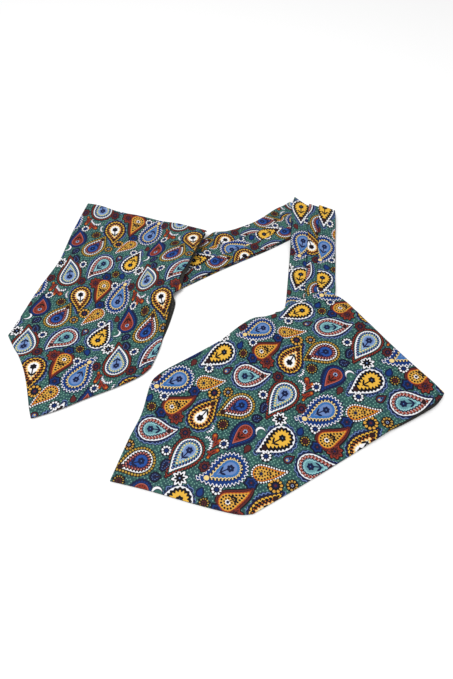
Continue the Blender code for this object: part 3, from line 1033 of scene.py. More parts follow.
class Graph:
    """The node tree of one material."""

    def __init__(self, material: bpy.types.Material) -> None:
        """Starts an empty tree.

        Args:
            material: the material whose tree this is.
        """
        material.use_nodes = True
        self.tree = material.node_tree
        self.tree.nodes.clear()

    def node(self, kind: str, settings: dict, sockets: dict, output: int | str = 0) -> Wire:
        """Adds a node of any type.

        Args:
            kind: the node's type.
            settings: its properties.
            sockets: what goes into its inputs, by place or name.
            output: the output wanted, by place or name.
        Returns:
            That output.
        """
        made = self.tree.nodes.new(kind)
        for name, value in settings.items():
            setattr(made, name, value)
        for key, value in sockets.items():
            into = made.inputs[key] if isinstance(key, int) else self._named(made.inputs, key)
            if isinstance(value, Wire):
                self.tree.links.new(value.socket, into)
            elif into.type == "RGBA":
                into.default_value = (*value, 1.0)[:4]
            elif into.type == "VECTOR" and not isinstance(value, tuple):
                into.default_value = (value, value, value)
            else:
                into.default_value = value
        out = made.outputs[output] if isinstance(output, int) else self._named(made.outputs, output)
        return Wire(self, out)

    @staticmethod
    def _named(sockets, key: str) -> bpy.types.NodeSocket:
        """The socket with that identifier, or else with that name."""
        known = {s.identifier: s for s in sockets}
        return known[key] if key in known else sockets[key]

    def mix(self, factor: Wire, low: Wire | Colour, high: Wire | Colour) -> Wire:
        """Blends two colours.

        Args:
            factor: 0 for the first and 1 for the second.
            low: the first colour.
            high: the second colour.
        Returns:
            The blend.
        """
        into = {"Factor_Float": factor, "A_Color": low, "B_Color": high}
        return self.node("ShaderNodeMix", {"data_type": "RGBA"}, into, "Result_Color")

    def choose(self, factor: Wire, low: Wire | float, high: Wire | float) -> Wire:
        """Blends two numbers.

        Args:
            factor: 0 for the first and 1 for the second.
            low: the first number.
            high: the second number.
        Returns:
            The blend.
        """
        into = {"Factor_Float": factor, "A_Float": low, "B_Float": high}
        return self.node("ShaderNodeMix", {"data_type": "FLOAT"}, into, "Result_Float")

    def attribute(self, name: str) -> Wire:
        """A vector attribute of the piece.

        Args:
            name: the attribute's name.
        Returns:
            The vector.
        """
        return self.node("ShaderNodeAttribute", {"attribute_name": name}, {}, "Vector")

    def parts(self, vector: Wire) -> tuple[Wire, Wire, Wire]:
        """The three numbers of a vector.

        Args:
            vector: the vector.
        Returns:
            Its three parts.
        """
        first = self.node("ShaderNodeSeparateXYZ", {}, {0: vector}, 0)
        made = first.socket.node
        return first, Wire(self, made.outputs[1]), Wire(self, made.outputs[2])

    def lookup(self, kind: Wire, rows: list[Colour]) -> Wire:
        """A stepped table that gives one colour or three numbers for each kind.

        Args:
            kind: number of the kind, as a share of the slots.
            rows: one entry for each kind.
        Returns:
            The entry of the kind.
        """
        found = self.node("ShaderNodeValToRGB", {}, {"Fac": kind})
        ramp = found.socket.node.color_ramp
        ramp.interpolation = "CONSTANT"
        ramp.elements.remove(ramp.elements[1])
        ramp.elements[0].position = 0.0
        ramp.elements[0].color = (*rows[0], 1.0)
        previous = rows[0]
        for slot, row in enumerate(rows[1:], 1):
            if row != previous:
                ramp.elements.new(slot / KIND_SLOTS).color = (*row, 1.0)
            previous = row
        return found


# Lengths are packed into a table's colours as shares of this span, from half its length below zero
TABLE_SPAN = 64.0
NOWHERE = 30.0


def packed(*lengths: float) -> Colour:
    """Three lengths as a colour in a table.

    Args:
        lengths: millimetres, from -32 to 32.
    Returns:
        Numbers from 0 to 1.
    """
    return tuple(length / TABLE_SPAN + 0.5 for length in lengths)


@dataclass
class PrintShader:
    """Draws the print in a material from each face's place in its own motif."""

    graph: Graph
    softness: float = 0.16

    def lengths(self, kind: Wire, rows: list[Colour]) -> tuple[Wire, Wire, Wire]:
        """Three lengths for the kind from a table.

        Args:
            kind: number of the kind.
            rows: packed lengths, one entry for each kind.
        Returns:
            The lengths in millimetres.
        """
        found = (self.graph.lookup(kind, rows) - 0.5) * TABLE_SPAN
        return self.graph.parts(found)

    def edge(self, inside: Wire) -> Wire:
        """Turns a distance inside a shape into a crisp mask.

        Args:
            inside: millimetres inside the shape's edge.
        Returns:
            1 inside and 0 outside.
        """
        return (inside / self.softness + 0.5).clamped()

    def outline(self, x: Wire, y: Wire, form: Wire) -> tuple[Wire, Wire, Wire]:
        """Depth inside the motif's outline and distance run along it.

        The outline is a head circle and a tip circle joined by straight flanks, as in
        Motif.distance, and the run is measured from the bottom of the head.

        Args:
            x: distance to the right of the motif's middle line.
            y: distance from the head's middle towards the tip.
            form: head radius, tip radius and length.
        Returns:
            Depth, run, and how much of the run each millimetre of depth saves.
        """
        graph = self.graph
        head, tip, length = graph.parts(form)
        slope = (head - tip) / length
        rise = (1.0 - slope * slope).apply("MAXIMUM", 1e-4).apply("SQRT")
        across = abs(x)
        run = rise * y - slope * across
        in_head = run < 0.0
        in_tip = run > rise * length
        flank = rise * across + slope * y - head
        from_head = (across * across + y * y).apply("SQRT")
        above = y - length
        from_tip = (across * across + above * above).apply("SQRT")
        outside = graph.choose(in_head, flank, from_head - head)
        outside = graph.choose(in_tip, outside, from_tip - tip)
        lean = slope.apply("ARCSINE")
        shoulder = head * (lean + math.pi / 2)
        around = head * across.apply("ARCTAN2", -y)
        beyond = shoulder + rise * length + tip * (above.apply("ARCTAN2", across) - lean)
        gone = graph.choose(in_head, shoulder + run, around)
        gone = graph.choose(in_tip, gone, beyond)
        return -outside, gone, gone.apply("MINIMUM", shoulder) / head

    def ground(self, spot: Wire) -> Wire:
        """The ground: teal with rows of lighter dots.

        Args:
            spot: place in the print, in millimetres.
        Returns:
            The colour.
        """
        graph = self.graph
        cells = graph.node(
            "ShaderNodeTexVoronoi",
            {"voronoi_dimensions": "2D", "feature": "F1"},
            {"Vector": spot, "Scale": 1 / 2.6, "Randomness": 0.5},
            "Distance",
        )
        dots = ((0.22 - cells) / 0.08).clamped()
        gaps = ((cells - 0.45) / 0.12).clamped()
        patches = graph.node(
            "ShaderNodeTexNoise",
            {"noise_dimensions": "2D"},
            {"Vector": spot, "Scale": 0.16, "Detail": 1.0},
            "Fac",
        )
        base = graph.mix(((patches - 0.35) * 3.0).clamped(), Dye.GROUND.value, srgb("2f5558"))
        base = graph.mix(gaps * 0.5, base, srgb("223c48"))
        return graph.mix(dots * 0.8, base, Dye.GROUND_DOT.value)

    def colour(self) -> Wire:
        """The whole print: ground, rings, rows of beads and marks, in that order.

        Returns:
            The colour.
        """
        graph = self.graph
        x, y, number = graph.parts(graph.attribute("motif_place"))
        kind = (number + 0.5) / KIND_SLOTS
        depth, gone, saved = self.outline(x, y, graph.attribute("motif_form"))
        designs = [k.value for k in KINDS]
        teeth = [packed(d.tooth_length, d.tooth_depth, 0) for d in designs]
        tooth_length, tooth_depth, _ = self.lengths(kind, teeth)
        wave = ((gone - saved * tooth_depth) * (2 * math.pi) / tooth_length).apply("COSINE")
        result = self.ground(graph.attribute("print_place"))
        for place in range(max(len(d.rings) for d in designs)):
            rings = [d.rings[place] if place < len(d.rings) else Ring(Dye.NAVY, NOWHERE) for d in designs]
            start, tooth, _ = self.lengths(kind, [packed(r.start, r.tooth, 0) for r in rings])
            dye = graph.lookup(kind, [r.dye.value for r in rings])
            mask = self.edge(depth - start - tooth * wave)
            result = graph.mix(mask, result, dye)
        for place in range(max(len(d.beads) for d in designs)):
            none = Beads(Dye.NAVY, NOWHERE, -2.0, 2.0)
            rows = [d.beads[place] if place < len(d.beads) else none for d in designs]
            sizes = [packed(r.depth, r.radius, r.spacing) for r in rows]
            at_depth, radius, spacing = self.lengths(kind, sizes)
            dye = graph.lookup(kind, [r.dye.value for r in rows])
            turn = ((gone - saved * at_depth) / spacing + 0.5).apply("FRACT") - 0.5
            sideways = turn * spacing
            inward = depth - at_depth
            away = (sideways * sideways + inward * inward).apply("SQRT")
            result = graph.mix(self.edge(radius - away), result, dye)
        for place in range(max(len(d.marks) for d in designs)):
            none = Mark(Dye.NAVY, 0.0, -2.0)
            marks = [d.marks[place] if place < len(d.marks) else none for d in designs]
            along, radius, petals = self.lengths(kind, [packed(m.along, m.radius, m.petals) for m in marks])
            spread, lean, apart = self.lengths(kind, [packed(m.spread, m.lean, m.apart) for m in marks])
            dye = graph.lookup(kind, [m.dye.value for m in marks])
            up = y - along + lean * abs(x)
            wide = (abs(x) - apart) / spread
            away = (wide * wide + up * up).apply("SQRT")
            turned = (x.apply("ARCTAN2", up) * 6.0).apply("COSINE")
            result = graph.mix(self.edge(radius + petals * turned - away), result, dye)
        return result


class Finish(Enum):
    """Finishes of the cravat's cloth."""

    PRINT = "printed_silk"
    GREY = "grey_silk"


@dataclass
class Dyer:
    """Makes the cravat's materials, each of them once."""

    made: dict[Finish, bpy.types.Material] = field(default_factory=dict)

    def material(self, finish: Finish) -> bpy.types.Material:
        """The material of a finish.

        Args:
            finish: the finish wanted.
        Returns:
            Its material.
        """
        if finish not in self.made:
            build = {Finish.PRINT: self.printed, Finish.GREY: self.grey}[finish]
            material = bpy.data.materials.new(f"look_{finish.value}")
            build(Graph(material))
            self.made[finish] = material
            LOG.info("material %s has %d nodes", material.name, len(material.node_tree.nodes))
        return self.made[finish]

    def weave(self, graph: Graph, spot: Wire, strength: float) -> Wire:
        """Bump of a fine twill: ribs that run across the cloth at 45 degrees.

        Args:
            graph: the material's tree.
            spot: place on the cloth, in millimetres.
            strength: strength of the bump.
        Returns:
            The bumped normal.
        """
        x, y, _ = graph.parts(spot)
        ribs = ((x + y) * (2 * math.pi / 0.62)).apply("SINE")
        slubs = graph.node("ShaderNodeTexNoise", {"noise_dimensions": "2D"}, {"Vector": spot, "Scale": 1.4}, "Fac")
        height = ribs * 0.08 + slubs
        into = {"Height": height, "Strength": strength, "Distance": 0.0002}
        return graph.node("ShaderNodeBump", {}, into)

    def cloth(self, graph: Graph, colour: Wire, normal: Wire, roughness: Wire, sheen: float) -> None:
        """Ends a cloth material.

        Args:
            graph: the material's tree.
            colour: base colour.
            normal: bumped normal.
            roughness: roughness.
            sheen: weight of the sheen.
        """
        shader = graph.node(
            "ShaderNodeBsdfPrincipled",
            {},
            {
                "Base Color": colour, "Normal": normal, "Roughness": roughness,
                "Sheen Weight": sheen, "Sheen Roughness": 0.45, "Specular IOR Level": 0.1,
            },
        )
        out = graph.tree.nodes.new("ShaderNodeOutputMaterial")
        graph.tree.links.new(shader.socket, out.inputs["Surface"])

    def printed(self, graph: Graph) -> None:
        """Printed silk twill, darkened towards every rim as painted shade.

        Args:
            graph: the material's empty tree.
        """
        spot = graph.attribute("print_place")
        colour = PrintShader(graph).colour()
        wear = graph.node(
            "ShaderNodeTexNoise", {"noise_dimensions": "2D"}, {"Vector": spot, "Scale": 0.35, "Detail": 3.0}, "Fac"
        )
        under, rim, _ = graph.parts(graph.attribute("cloth_side"))
        # Painted shade: within about 0.75 mm of a piece's rim the colour falls to three tenths, for the shade on rolled
        # edges and pleat lips
        shade = ((rim - 0.15) / 0.6).clamped() * 0.7 + 0.3
        colour = colour * (wear * 0.16 + 0.78) * shade
        # The lower side is a plain charcoal; it also covers the lower half of every rounded rim, where it partly serves
        # as painted shade on the edges
        colour = graph.mix(under * 0.8, colour, srgb("30302f"))
        self.cloth(graph, colour, self.weave(graph, spot, 0.25), wear * 0.12 + 0.42, 0.02)

    def grey(self, graph: Graph) -> None:
        """Plain charcoal silk with a row of slip stitches near its rim. The charcoal is the lining's own grey taken
        darker, as painted shade where it shows at lifted edges.

        Args:
            graph: the material's empty tree.
        """
        spot = graph.attribute("print_place")
        run, gap, _ = graph.parts(graph.attribute("hem_place"))
        dash = abs((run / 4.2).apply("FRACT") - 0.5)
        stitch = ((0.22 - dash) / 0.03).clamped() * ((0.32 - abs(gap - 2.6)) / 0.1).clamped()
        cloudy = graph.node(
            "ShaderNodeTexNoise", {"noise_dimensions": "2D"}, {"Vector": spot, "Scale": 0.2, "Detail": 3.0}, "Fac"
        )
        # Lining colour, partly painted shade: darker than the lit lining so that it reads as shade at the blades'
        # lifted edges
        base = graph.mix(cloudy, srgb("242321"), srgb("2e2d2a"))
        colour = graph.mix(stitch * 0.8, base, srgb("4c4a43"))
        self.cloth(graph, colour, self.weave(graph, spot, 0.3), cloudy * 0.1 + 0.47, 0.06)


DYER = Dyer()


def normals(surface: Array) -> Array:
    """Unit normals of a grid of points, upwards where the grid turns to the left.

    Args:
        surface: points in rows and columns.
    Returns:
        One normal for each point.
    """
    crossed = np.cross(np.gradient(surface, axis=1), np.gradient(surface, axis=0))
    return crossed / np.linalg.norm(crossed, axis=2, keepdims=True)


@dataclass
class Cloth:
    """One finished piece of cloth: a closed wall on both sides of a middle surface."""

    node: str
    surface: Array
    thickness: Array | float
    fullness: Array
    finish: Finish
    spots: Array
    flat: tuple[float, float]
    area: float
    held: str = "laid"
    rests_on: tuple[str, ...] = ()
    beyond: Array | None = None
    beyond_spots: Array | None = None
    rim_gap: Array | None = None

    def build(self) -> bpy.types.Object:
        """Returns:
            The new object.
        """
        rows, columns = self.surface.shape[:2]
        self.rim_gap = np.full((rows, columns), 9.0)
        for rim in (self.surface[:1], self.surface[-1:], self.surface[:, :1], self.surface[:, -1:]):
            self.rim_gap = np.minimum(self.rim_gap, np.linalg.norm(self.surface - rim, axis=-1))
        offset = normals(self.surface) * (self.thickness * self.fullness)[..., None] / 2.0
        inner = np.zeros((rows, columns), bool)
        inner[1:-1, 1:-1] = True
        upper = (self.surface + offset).reshape(-1, 3)
        lower = (self.surface - offset)[inner]
        top = np.arange(rows * columns).reshape(rows, columns)
        bottom = top.copy()
        bottom[inner] = rows * columns + np.arange(lower.shape[0])
        above = self.quads(top)
        below = self.quads(bottom)[:, ::-1]
        points = (np.vstack([upper, lower]) - np.array([*MIDDLE, 0.0])) * MM
        quads = np.vstack([above, below])
        spots = self.spots.reshape(-1, 2)
        spots = np.vstack([spots, spots[inner.ravel()]])
        mesh = bpy.data.meshes.new(self.node + "_cloth")
        mesh.vertices.add(len(points))
        mesh.vertices.foreach_set("co", points.ravel())
        mesh.loops.add(quads.size)
        mesh.loops.foreach_set("vertex_index", quads.ravel())
        mesh.polygons.add(len(quads))
        mesh.polygons.foreach_set("loop_start", np.arange(0, quads.size, 4))
        mesh.update(calc_edges=True)
        mesh.shade_smooth()
        self.dress(mesh, spots, quads, len(above))
        piece = bpy.data.objects.new(self.node + "_cloth", mesh)
        bpy.context.scene.collection.objects.link(piece)
        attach(piece, "root")
        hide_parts(self.node)
        size = tuple(length * MM for length in self.flat)
        LOG.info("%s: %d faces", piece.name, len(quads))
        return piece

    @staticmethod
    def quads(grid: Array) -> Array:
        """Faces of a grid of vertices.

        Args:
            grid: numbers of the vertices, in rows and columns.
        Returns:
            Four vertices for each face.
        """
        corners = [grid[:-1, :-1], grid[:-1, 1:], grid[1:, 1:], grid[1:, :-1]]
        return np.stack([corner.ravel() for corner in corners], -1)

    def dress(self, mesh: bpy.types.Mesh, spots: Array, quads: Array, above: int) -> None:
        """Writes what the material reads and sets it on the mesh.

        Args:
            mesh: the piece's mesh.
            spots: place in the print of each vertex.
            quads: the four vertices of each face.
            above: how many of the faces are on the upper side.
        """
        flat = self.printed_spots(spots, quads)
        self.attribute(mesh, "print_place", np.concatenate([flat, np.zeros(flat.shape[:2] + (1,))], -1))
        side = np.zeros(flat.shape[:2] + (3,))
        side[above:, :, 0] = 1.0
        # The second part is the distance to the rim, which the printed silk reads for its painted edge shade
        side[..., 1] = self.whole(self.rim_gap)[quads][..., 0]
        self.attribute(mesh, "cloth_side", side)
        if self.finish is Finish.PRINT:
            places, forms = print_attributes(flat)
            self.attribute(mesh, "motif_place", places)
            self.attribute(mesh, "motif_form", forms)
        else:
            self.attribute(mesh, "hem_place", self.hem()[quads])
        layer = mesh.uv_layers.new(name="cloth")
        layer.data.foreach_set("uv", (flat / REPEAT).ravel())
        mesh.materials.append(DYER.material(self.finish))

    def whole(self, values: Array) -> Array:
        """Values for every vertex from values for the grid.

        Args:
            values: one or more numbers for each point of the grid.
        Returns:
            Those of the upper side, then those of the lower side.
        """
        rows, columns = self.surface.shape[:2]
        inner = np.zeros((rows, columns), bool)
        inner[1:-1, 1:-1] = True
        return np.concatenate([values.reshape(rows * columns, -1), values[inner].reshape(inner.sum(), -1)])

    def printed_spots(self, spots: Array, quads: Array) -> Array:
        """Place in the print of each face corner, on either side of a seam in the print.

        Args:
            spots: place in the print of each vertex.
            quads: the four vertices of each face.
        Returns:
            Places in the print.
        """
        flat = spots[quads]
        if self.beyond is None:
            return flat
        past = self.whole(self.beyond[..., None].astype(float))[:, 0][quads].mean(axis=1) > 0.5
        return np.where(past[:, None, None], self.whole(self.beyond_spots)[quads], flat)

    def hem(self) -> Array:
        """Place along the rim and distance in from it, for stitches.

        Returns:
            For each vertex, the run along the rim, the gap to it and nought.
        """
        plan = self.surface[..., :2]
        rim = np.concatenate([plan[0], plan[1:, -1], plan[-1, -2::-1], plan[-2::-1, 0]])
        gap, share = to_line(plan, rim[::3])
        length = np.linalg.norm(np.diff(rim, axis=0), axis=1).sum()
        return self.whole(np.stack([share * length, gap, np.zeros_like(gap)], -1))

    @staticmethod
    def attribute(mesh: bpy.types.Mesh, name: str, values: Array) -> None:
        """Writes a vector for each face corner.

        Args:
            mesh: the mesh.
            name: the attribute's name.
            values: one vector for each corner.
        """
        made = mesh.attributes.new(name, "FLOAT_VECTOR", "CORNER")
        made.data.foreach_set("vector", np.ascontiguousarray(values, np.float32).ravel())


def fullness(down: Array, down_length: float, over: Array, over_length: float) -> Array:
    """How full a wall is over a whole grid.

    Args:
        down: stations of the rows.
        down_length: length that they share.
        over: stations of the columns.
        over_length: length that they share.
    Returns:
        Shares of the full thickness, in rows and columns.
    """
    return rim_profile(down, down_length)[:, None] * rim_profile(over, over_length)[None]


@dataclass
class Blade:
    """A blade of the cravat: printed face, grey back and the top turned under."""

    name: str
    place: Place
    outline: dict[str, Line]
    back_outline: dict[str, Line]
    turn: dict[str, Point]
    lay: PrintLay
    creases: tuple[Crease, ...]
    face_area: float
    back_area: float

    def tip_line(self, across: Array, outline: dict[str, Line]) -> Array:
        """The pointed end as one line of points, with its tip at half its length.

        Args:
            across: shares of the width.
            outline: the blade's outline.
        Returns:
            One point for each share.
        """
        left = at(curve(outline["left_tip"])[::-1], np.clip(across * 2.0, 0.0, 1.0))
        right = at(curve(outline["right_tip"]), np.clip(across * 2.0 - 1.0, 0.0, 1.0))
        return np.where((across < 0.5)[:, None], left, right)

    def patch(self, across: Array, along: Array, outline: dict[str, Line]) -> Array:
        """The blade's plan, blended from its four edges as Coons does.

        Args:
            across: shares of the width.
            along: shares of the length.
            outline: the blade's outline.
        Returns:
            Distances along and to the left, in rows and columns.
        """
        low = self.tip_line(across, outline)[None]
        top = at(curve(outline["top"]), across)[None]
        left = at(curve(outline["left"]), along)[:, None]
        right = at(curve(outline["right"]), along)[:, None]
        u = across[None, :, None]
        v = along[:, None, None]
        lower = (1 - u) * low[:, :1] + u * low[:, -1:]
        upper = (1 - u) * top[:, :1] + u * top[:, -1:]
        return (1 - v) * (low - lower) + v * (top - upper) + (1 - u) * left + u * right

    def rise(self, local: Array) -> Array:
        """Height of all that lies under the blade's back.

        Args:
            local: distances along and to the left.
        Returns:
            Heights in millimetres.
        """
        raise NotImplementedError

    def leaning(self, local: Array) -> Array:
        """How far the blade moves sideways on the table where it stands off it.

        Args:
            local: distances along and to the left.
        Returns:
            Steps on the table.
        """
        return np.zeros_like(local)

    def floor(self, local: Array) -> Array:
        """Height that the turned-under top lies on.

        Args:
            local: distances along and to the left.
        Returns:
            Heights in millimetres.
        """
        return np.zeros(local.shape[:-1])

    def face_height(self, plan: Array) -> Array:
        """Height of the face's middle surface.

        Args:
            plan: the face's plan.
        Returns:
            Heights in millimetres.
        """
        raise NotImplementedError

    def back_plan(self, across: Array, along: Array) -> Array:
        """The back's plan, in from the face's edges and short of the fold at its top.

        Args:
            across: shares of the width.
            along: shares of the length.
        Returns:
            Distances along and to the left, in rows and columns.
        """
        plan = self.patch(across, along, self.back_outline)
        flat = plan.reshape(-1, 2)
        middle = self.coarse_middle()
        size = flat.max(axis=0) - flat.min(axis=0)
        plan = middle + (plan - middle) * (1.0 - 2.0 * BACK_INSET / size)
        return plan - smooth(plan[..., :1], *BACK_DRAWN_DOWN) * np.array([FOLD_INSET, 0.0])

    def coarse_middle(self) -> Array:
        """Middle of the back's plan over an even grid.

        Returns:
            A distance along and one to the left.
        """
        even = np.linspace(0.0, 1.0, 21)
        return self.patch(even, even, self.back_outline).reshape(-1, 2).mean(axis=0)

    def back_height(self, plan: Array) -> Array:
        """Height of the back's middle surface.

        Args:
            plan: the back's plan.
        Returns:
            Heights in millimetres.
        """
        return LINING / 2 + self.rise(plan)

    def build(self) -> None:
        """Makes the three pieces of the blade."""
        across = stations(BLADE_WIDTH, FACE_COLUMNS)
        along = stations(BLADE_SIDE, FACE_ROWS, last=FOLD_ROWS)
        plan = self.patch(across, along, self.outline)
        height = self.face_height(plan) + creased(plan, self.creases)
        spread = self.place.out(plan)
        spots = self.lay.spread(spread)
        spread = spread + self.leaning(plan)
        full = fullness(along, BLADE_SIDE, across, BLADE_WIDTH)
        Cloth(
            f"{self.name}_blade_face", with_height(spread, height), SILK, full, Finish.PRINT,
            spots, (158.0, 300.0), self.face_area,
            rests_on=(f"{self.name}_blade_back_cloth",),
        ).build()

        across = stations(BLADE_WIDTH, BACK_COLUMNS)
        along = stations(BLADE_SIDE, BACK_ROWS)
        plan = self.back_plan(across, along)
        spread = self.place.out(plan) + self.leaning(plan)
        full = fullness(along, BLADE_SIDE, across, BLADE_WIDTH)
        Cloth(
            f"{self.name}_blade_back", with_height(spread, self.back_height(plan)), LINING, full,
            Finish.GREY, plan, (156.0, 292.0), self.back_area,
            rests_on=(f"{self.name}_blade_turned_top_cloth",),
        ).build()
        self.build_turned()

    def build_turned(self) -> None:
        """Makes the layers turned under the blade's top, as one rounded solid."""
        across = stations(TURN_WIDTH, TURN_COLUMNS)
        along = stations(TURN_DEPTH, TURN_ROWS)
        u = across[None, :, None]
        v = along[:, None, None]
        points = {corner: np.array(point, float) for corner, point in self.turn.items()}
        low = (1 - u) * points["low_left"] + u * points["low_right"]
        top = (1 - u) * points["top_left"] + u * points["top_right"]
        plan = (1 - v) * low + v * top
        under = self.floor(plan)
        thickness = self.rise(plan) - GAP - under
        surface = with_height(self.place.out(plan) + self.leaning(plan), under + thickness / 2)
        full = fullness(along, TURN_DEPTH, across, TURN_WIDTH)
        Cloth(
            f"{self.name}_blade_turned_top", surface, thickness, full, Finish.GREY, plan,
            (TURN_WIDTH + 10, TURN_DEPTH), None, held="folded",
        ).build()


@dataclass
class NearBlade(Blade):
    """The blade that lies nearer to the viewer, with the neckband's end on its throat."""

    def rise(self, local: Array) -> Array:
        along, across = local[..., 0], local[..., 1]
        turned = TURN_RISE * smooth(along, *NEAR_TURN_RAMP) * smooth(across, *NEAR_TURN_SIDE_RAMP)
        corner = smooth(along, *CORNER_LIFT_ALONG) * smooth(across, *CORNER_LIFT_ACROSS)
        return turned + CORNER_LIFT * corner

    def face_height(self, plan: Array) -> Array:
        throat = smooth(plan[..., 0], *THROAT_ALONG) * smooth(plan[..., 1], *THROAT_ACROSS)
        height = FACE_LIFT + self.rise(plan) + THROAT_FACE * throat
        to_fold = np.linalg.norm(plan - plan[-1:], axis=2)
        rounding = folded_down(height, to_fold, FOLD_RADIUS, FOLD_LOW)
        return height + (rounding - height) * (1.0 - np.sqrt(throat))

    def back_plan(self, across: Array, along: Array) -> Array:
        plan = super().back_plan(across, along)
        by_throat = smooth(plan[..., 0], *BACK_THROAT_ALONG) * smooth(plan[..., 1], *BACK_THROAT_ACROSS)
        return plan - by_throat[..., None] * np.array(BACK_THROAT_CUT)


@dataclass
class FarBlade(Blade):
    """The blade that lies further off, with the neckband's end beneath its right edge."""

    def bulge(self, local: Array) -> Array:
        """Height over the neckband's end.

        Args:
            local: distances along and to the left.
        Returns:
            Heights in millimetres.
        """
        along, across = local[..., 0], local[..., 1]
        return BAND_RISE * smooth(across, *BULGE_ACROSS) * smooth(along, *BULGE_ALONG)

    def roll(self, local: Array) -> Array:
        """How far the right edge rolls down at the throat.

        Args:
            local: distances along and to the left.
        Returns:
            Depths in millimetres.
        """
        along, across = local[..., 0], local[..., 1]
        start, full, still, end = ROLL_ALONG
        span = smooth(along, start, full) * (1.0 - smooth(along, still, end))
        return ROLL_DROP * span * smooth(across, *ROLL_ACROSS)

    def flap(self, local: Array) -> Array:
        """How far the right edge stands off the neckband.

        Args:
            local: distances along and to the left.
        Returns:
            Heights in millimetres.
        """
        along, across = local[..., 0], local[..., 1]
        lift = FLAP_LIFT * smooth(along, *FLAP_START) - FLAP_DROP * smooth(along, *FLAP_EASE)
        return lift * smooth(across, *FLAP_ACROSS)

    def leaning(self, local: Array) -> Array:
        return self.flap(local)[..., None] * np.array(FLAP_LEAN)

    def rise(self, local: Array) -> Array:
        lifted = self.bulge(local) + self.flap(local)
        return lifted + TURN_RISE * smooth(local[..., 0], *FAR_TURN_RAMP)

    def floor(self, local: Array) -> Array:
        return self.bulge(local) + self.flap(local)

    def face_height(self, plan: Array) -> Array:
        height = FACE_LIFT + self.rise(plan) - self.roll(plan)
        to_fold = np.linalg.norm(plan - plan[-1:], axis=2)
        return folded_down(height, to_fold, FOLD_RADIUS, FOLD_LOW + self.floor(plan))

    def back_height(self, plan: Array) -> Array:
        slope = smooth(plan[..., 1], *SLOPE_ACROSS) * (1.0 - smooth(plan[..., 0], *SLOPE_END))
        return LINING / 2 + self.rise(plan) * (1.0 - slope)


@dataclass
class Stretch:
    """A straight run of the neckband: three pleats, each lying on the one before."""

    name: str
    left_rail: Line
    right_rail: Line
    length: float
    lays: tuple[PrintLay, ...]
    areas: tuple[float, ...]

    def plan(self, share: Array, along: Array) -> Array:
        """A pleat's plan from shares of the width across and of each rail along.

        Args:
            share: shares of the width, one for each column.
            along: shares of the length, in rows and columns.
        Returns:
            Places on the table.
        """
        left = at(curve(self.left_rail), along)
        right = at(curve(self.right_rail), along)
        return (1 - share[None, :, None]) * left + share[None, :, None] * right

    def pleat(self, layer: int) -> tuple[Array, Array, float]:
        """The middle surface of one pleat.

        Args:
            layer: 0 for the lowest pleat.
        Returns:
            The surface, how full its wall is, and the pleat's width.
        """
        raise NotImplementedError

    def build(self) -> None:
        """Makes the pleats."""
        for layer, lay in enumerate(self.lays):
            surface, full, width = self.pleat(layer)
            beyond, beyond_spots = self.seam(surface)
            below = (f"{self.name}_stretch_pleat_{layer}_cloth",) if layer else ()
            Cloth(
                f"{self.name}_stretch_pleat_{layer + 1}", surface, SILK, full, Finish.PRINT,
                lay.spread(surface[..., :2]), (width + 1.0, self.length), self.areas[layer],
                held="folded", rests_on=below, beyond=beyond, beyond_spots=beyond_spots,
            ).build()

    def seam(self, surface: Array) -> tuple[Array | None, Array | None]:
        """Where the print jumps because a fold hides some cloth.

        Args:
            surface: the pleat's middle surface.
        Returns:
            Which points lie past the fold, and their places in the print.
        """
        return None, None


@dataclass
class FarStretch(Stretch):
    """The run from beneath the far blade to the fold at the corner."""

    def pleat(self, layer: int) -> tuple[Array, Array, float]:
        lip = FAR_PLEAT_LIPS[layer]
        edge = 1.0 - PLEAT_EDGE_STEP * layer / BAND_WIDTH
        width = BAND_WIDTH * (edge - lip)
        over = stations(width, round(width / STRIP_PITCH))
        share = lip + (edge - lip) * over
        cut = 1.0 - (FAR_END_BACK + layer) / FAR_LENGTH
        down = stations(FAR_LENGTH, round(FAR_LENGTH / STRIP_PITCH))
        plan = self.plan(share, np.repeat(cut * down[:, None], len(share), axis=1))
        height = np.full(plan.shape[:2], SILK / 2 + layer * LAYER)
        return with_height(plan, height), fullness(down, FAR_LENGTH, over, width), width


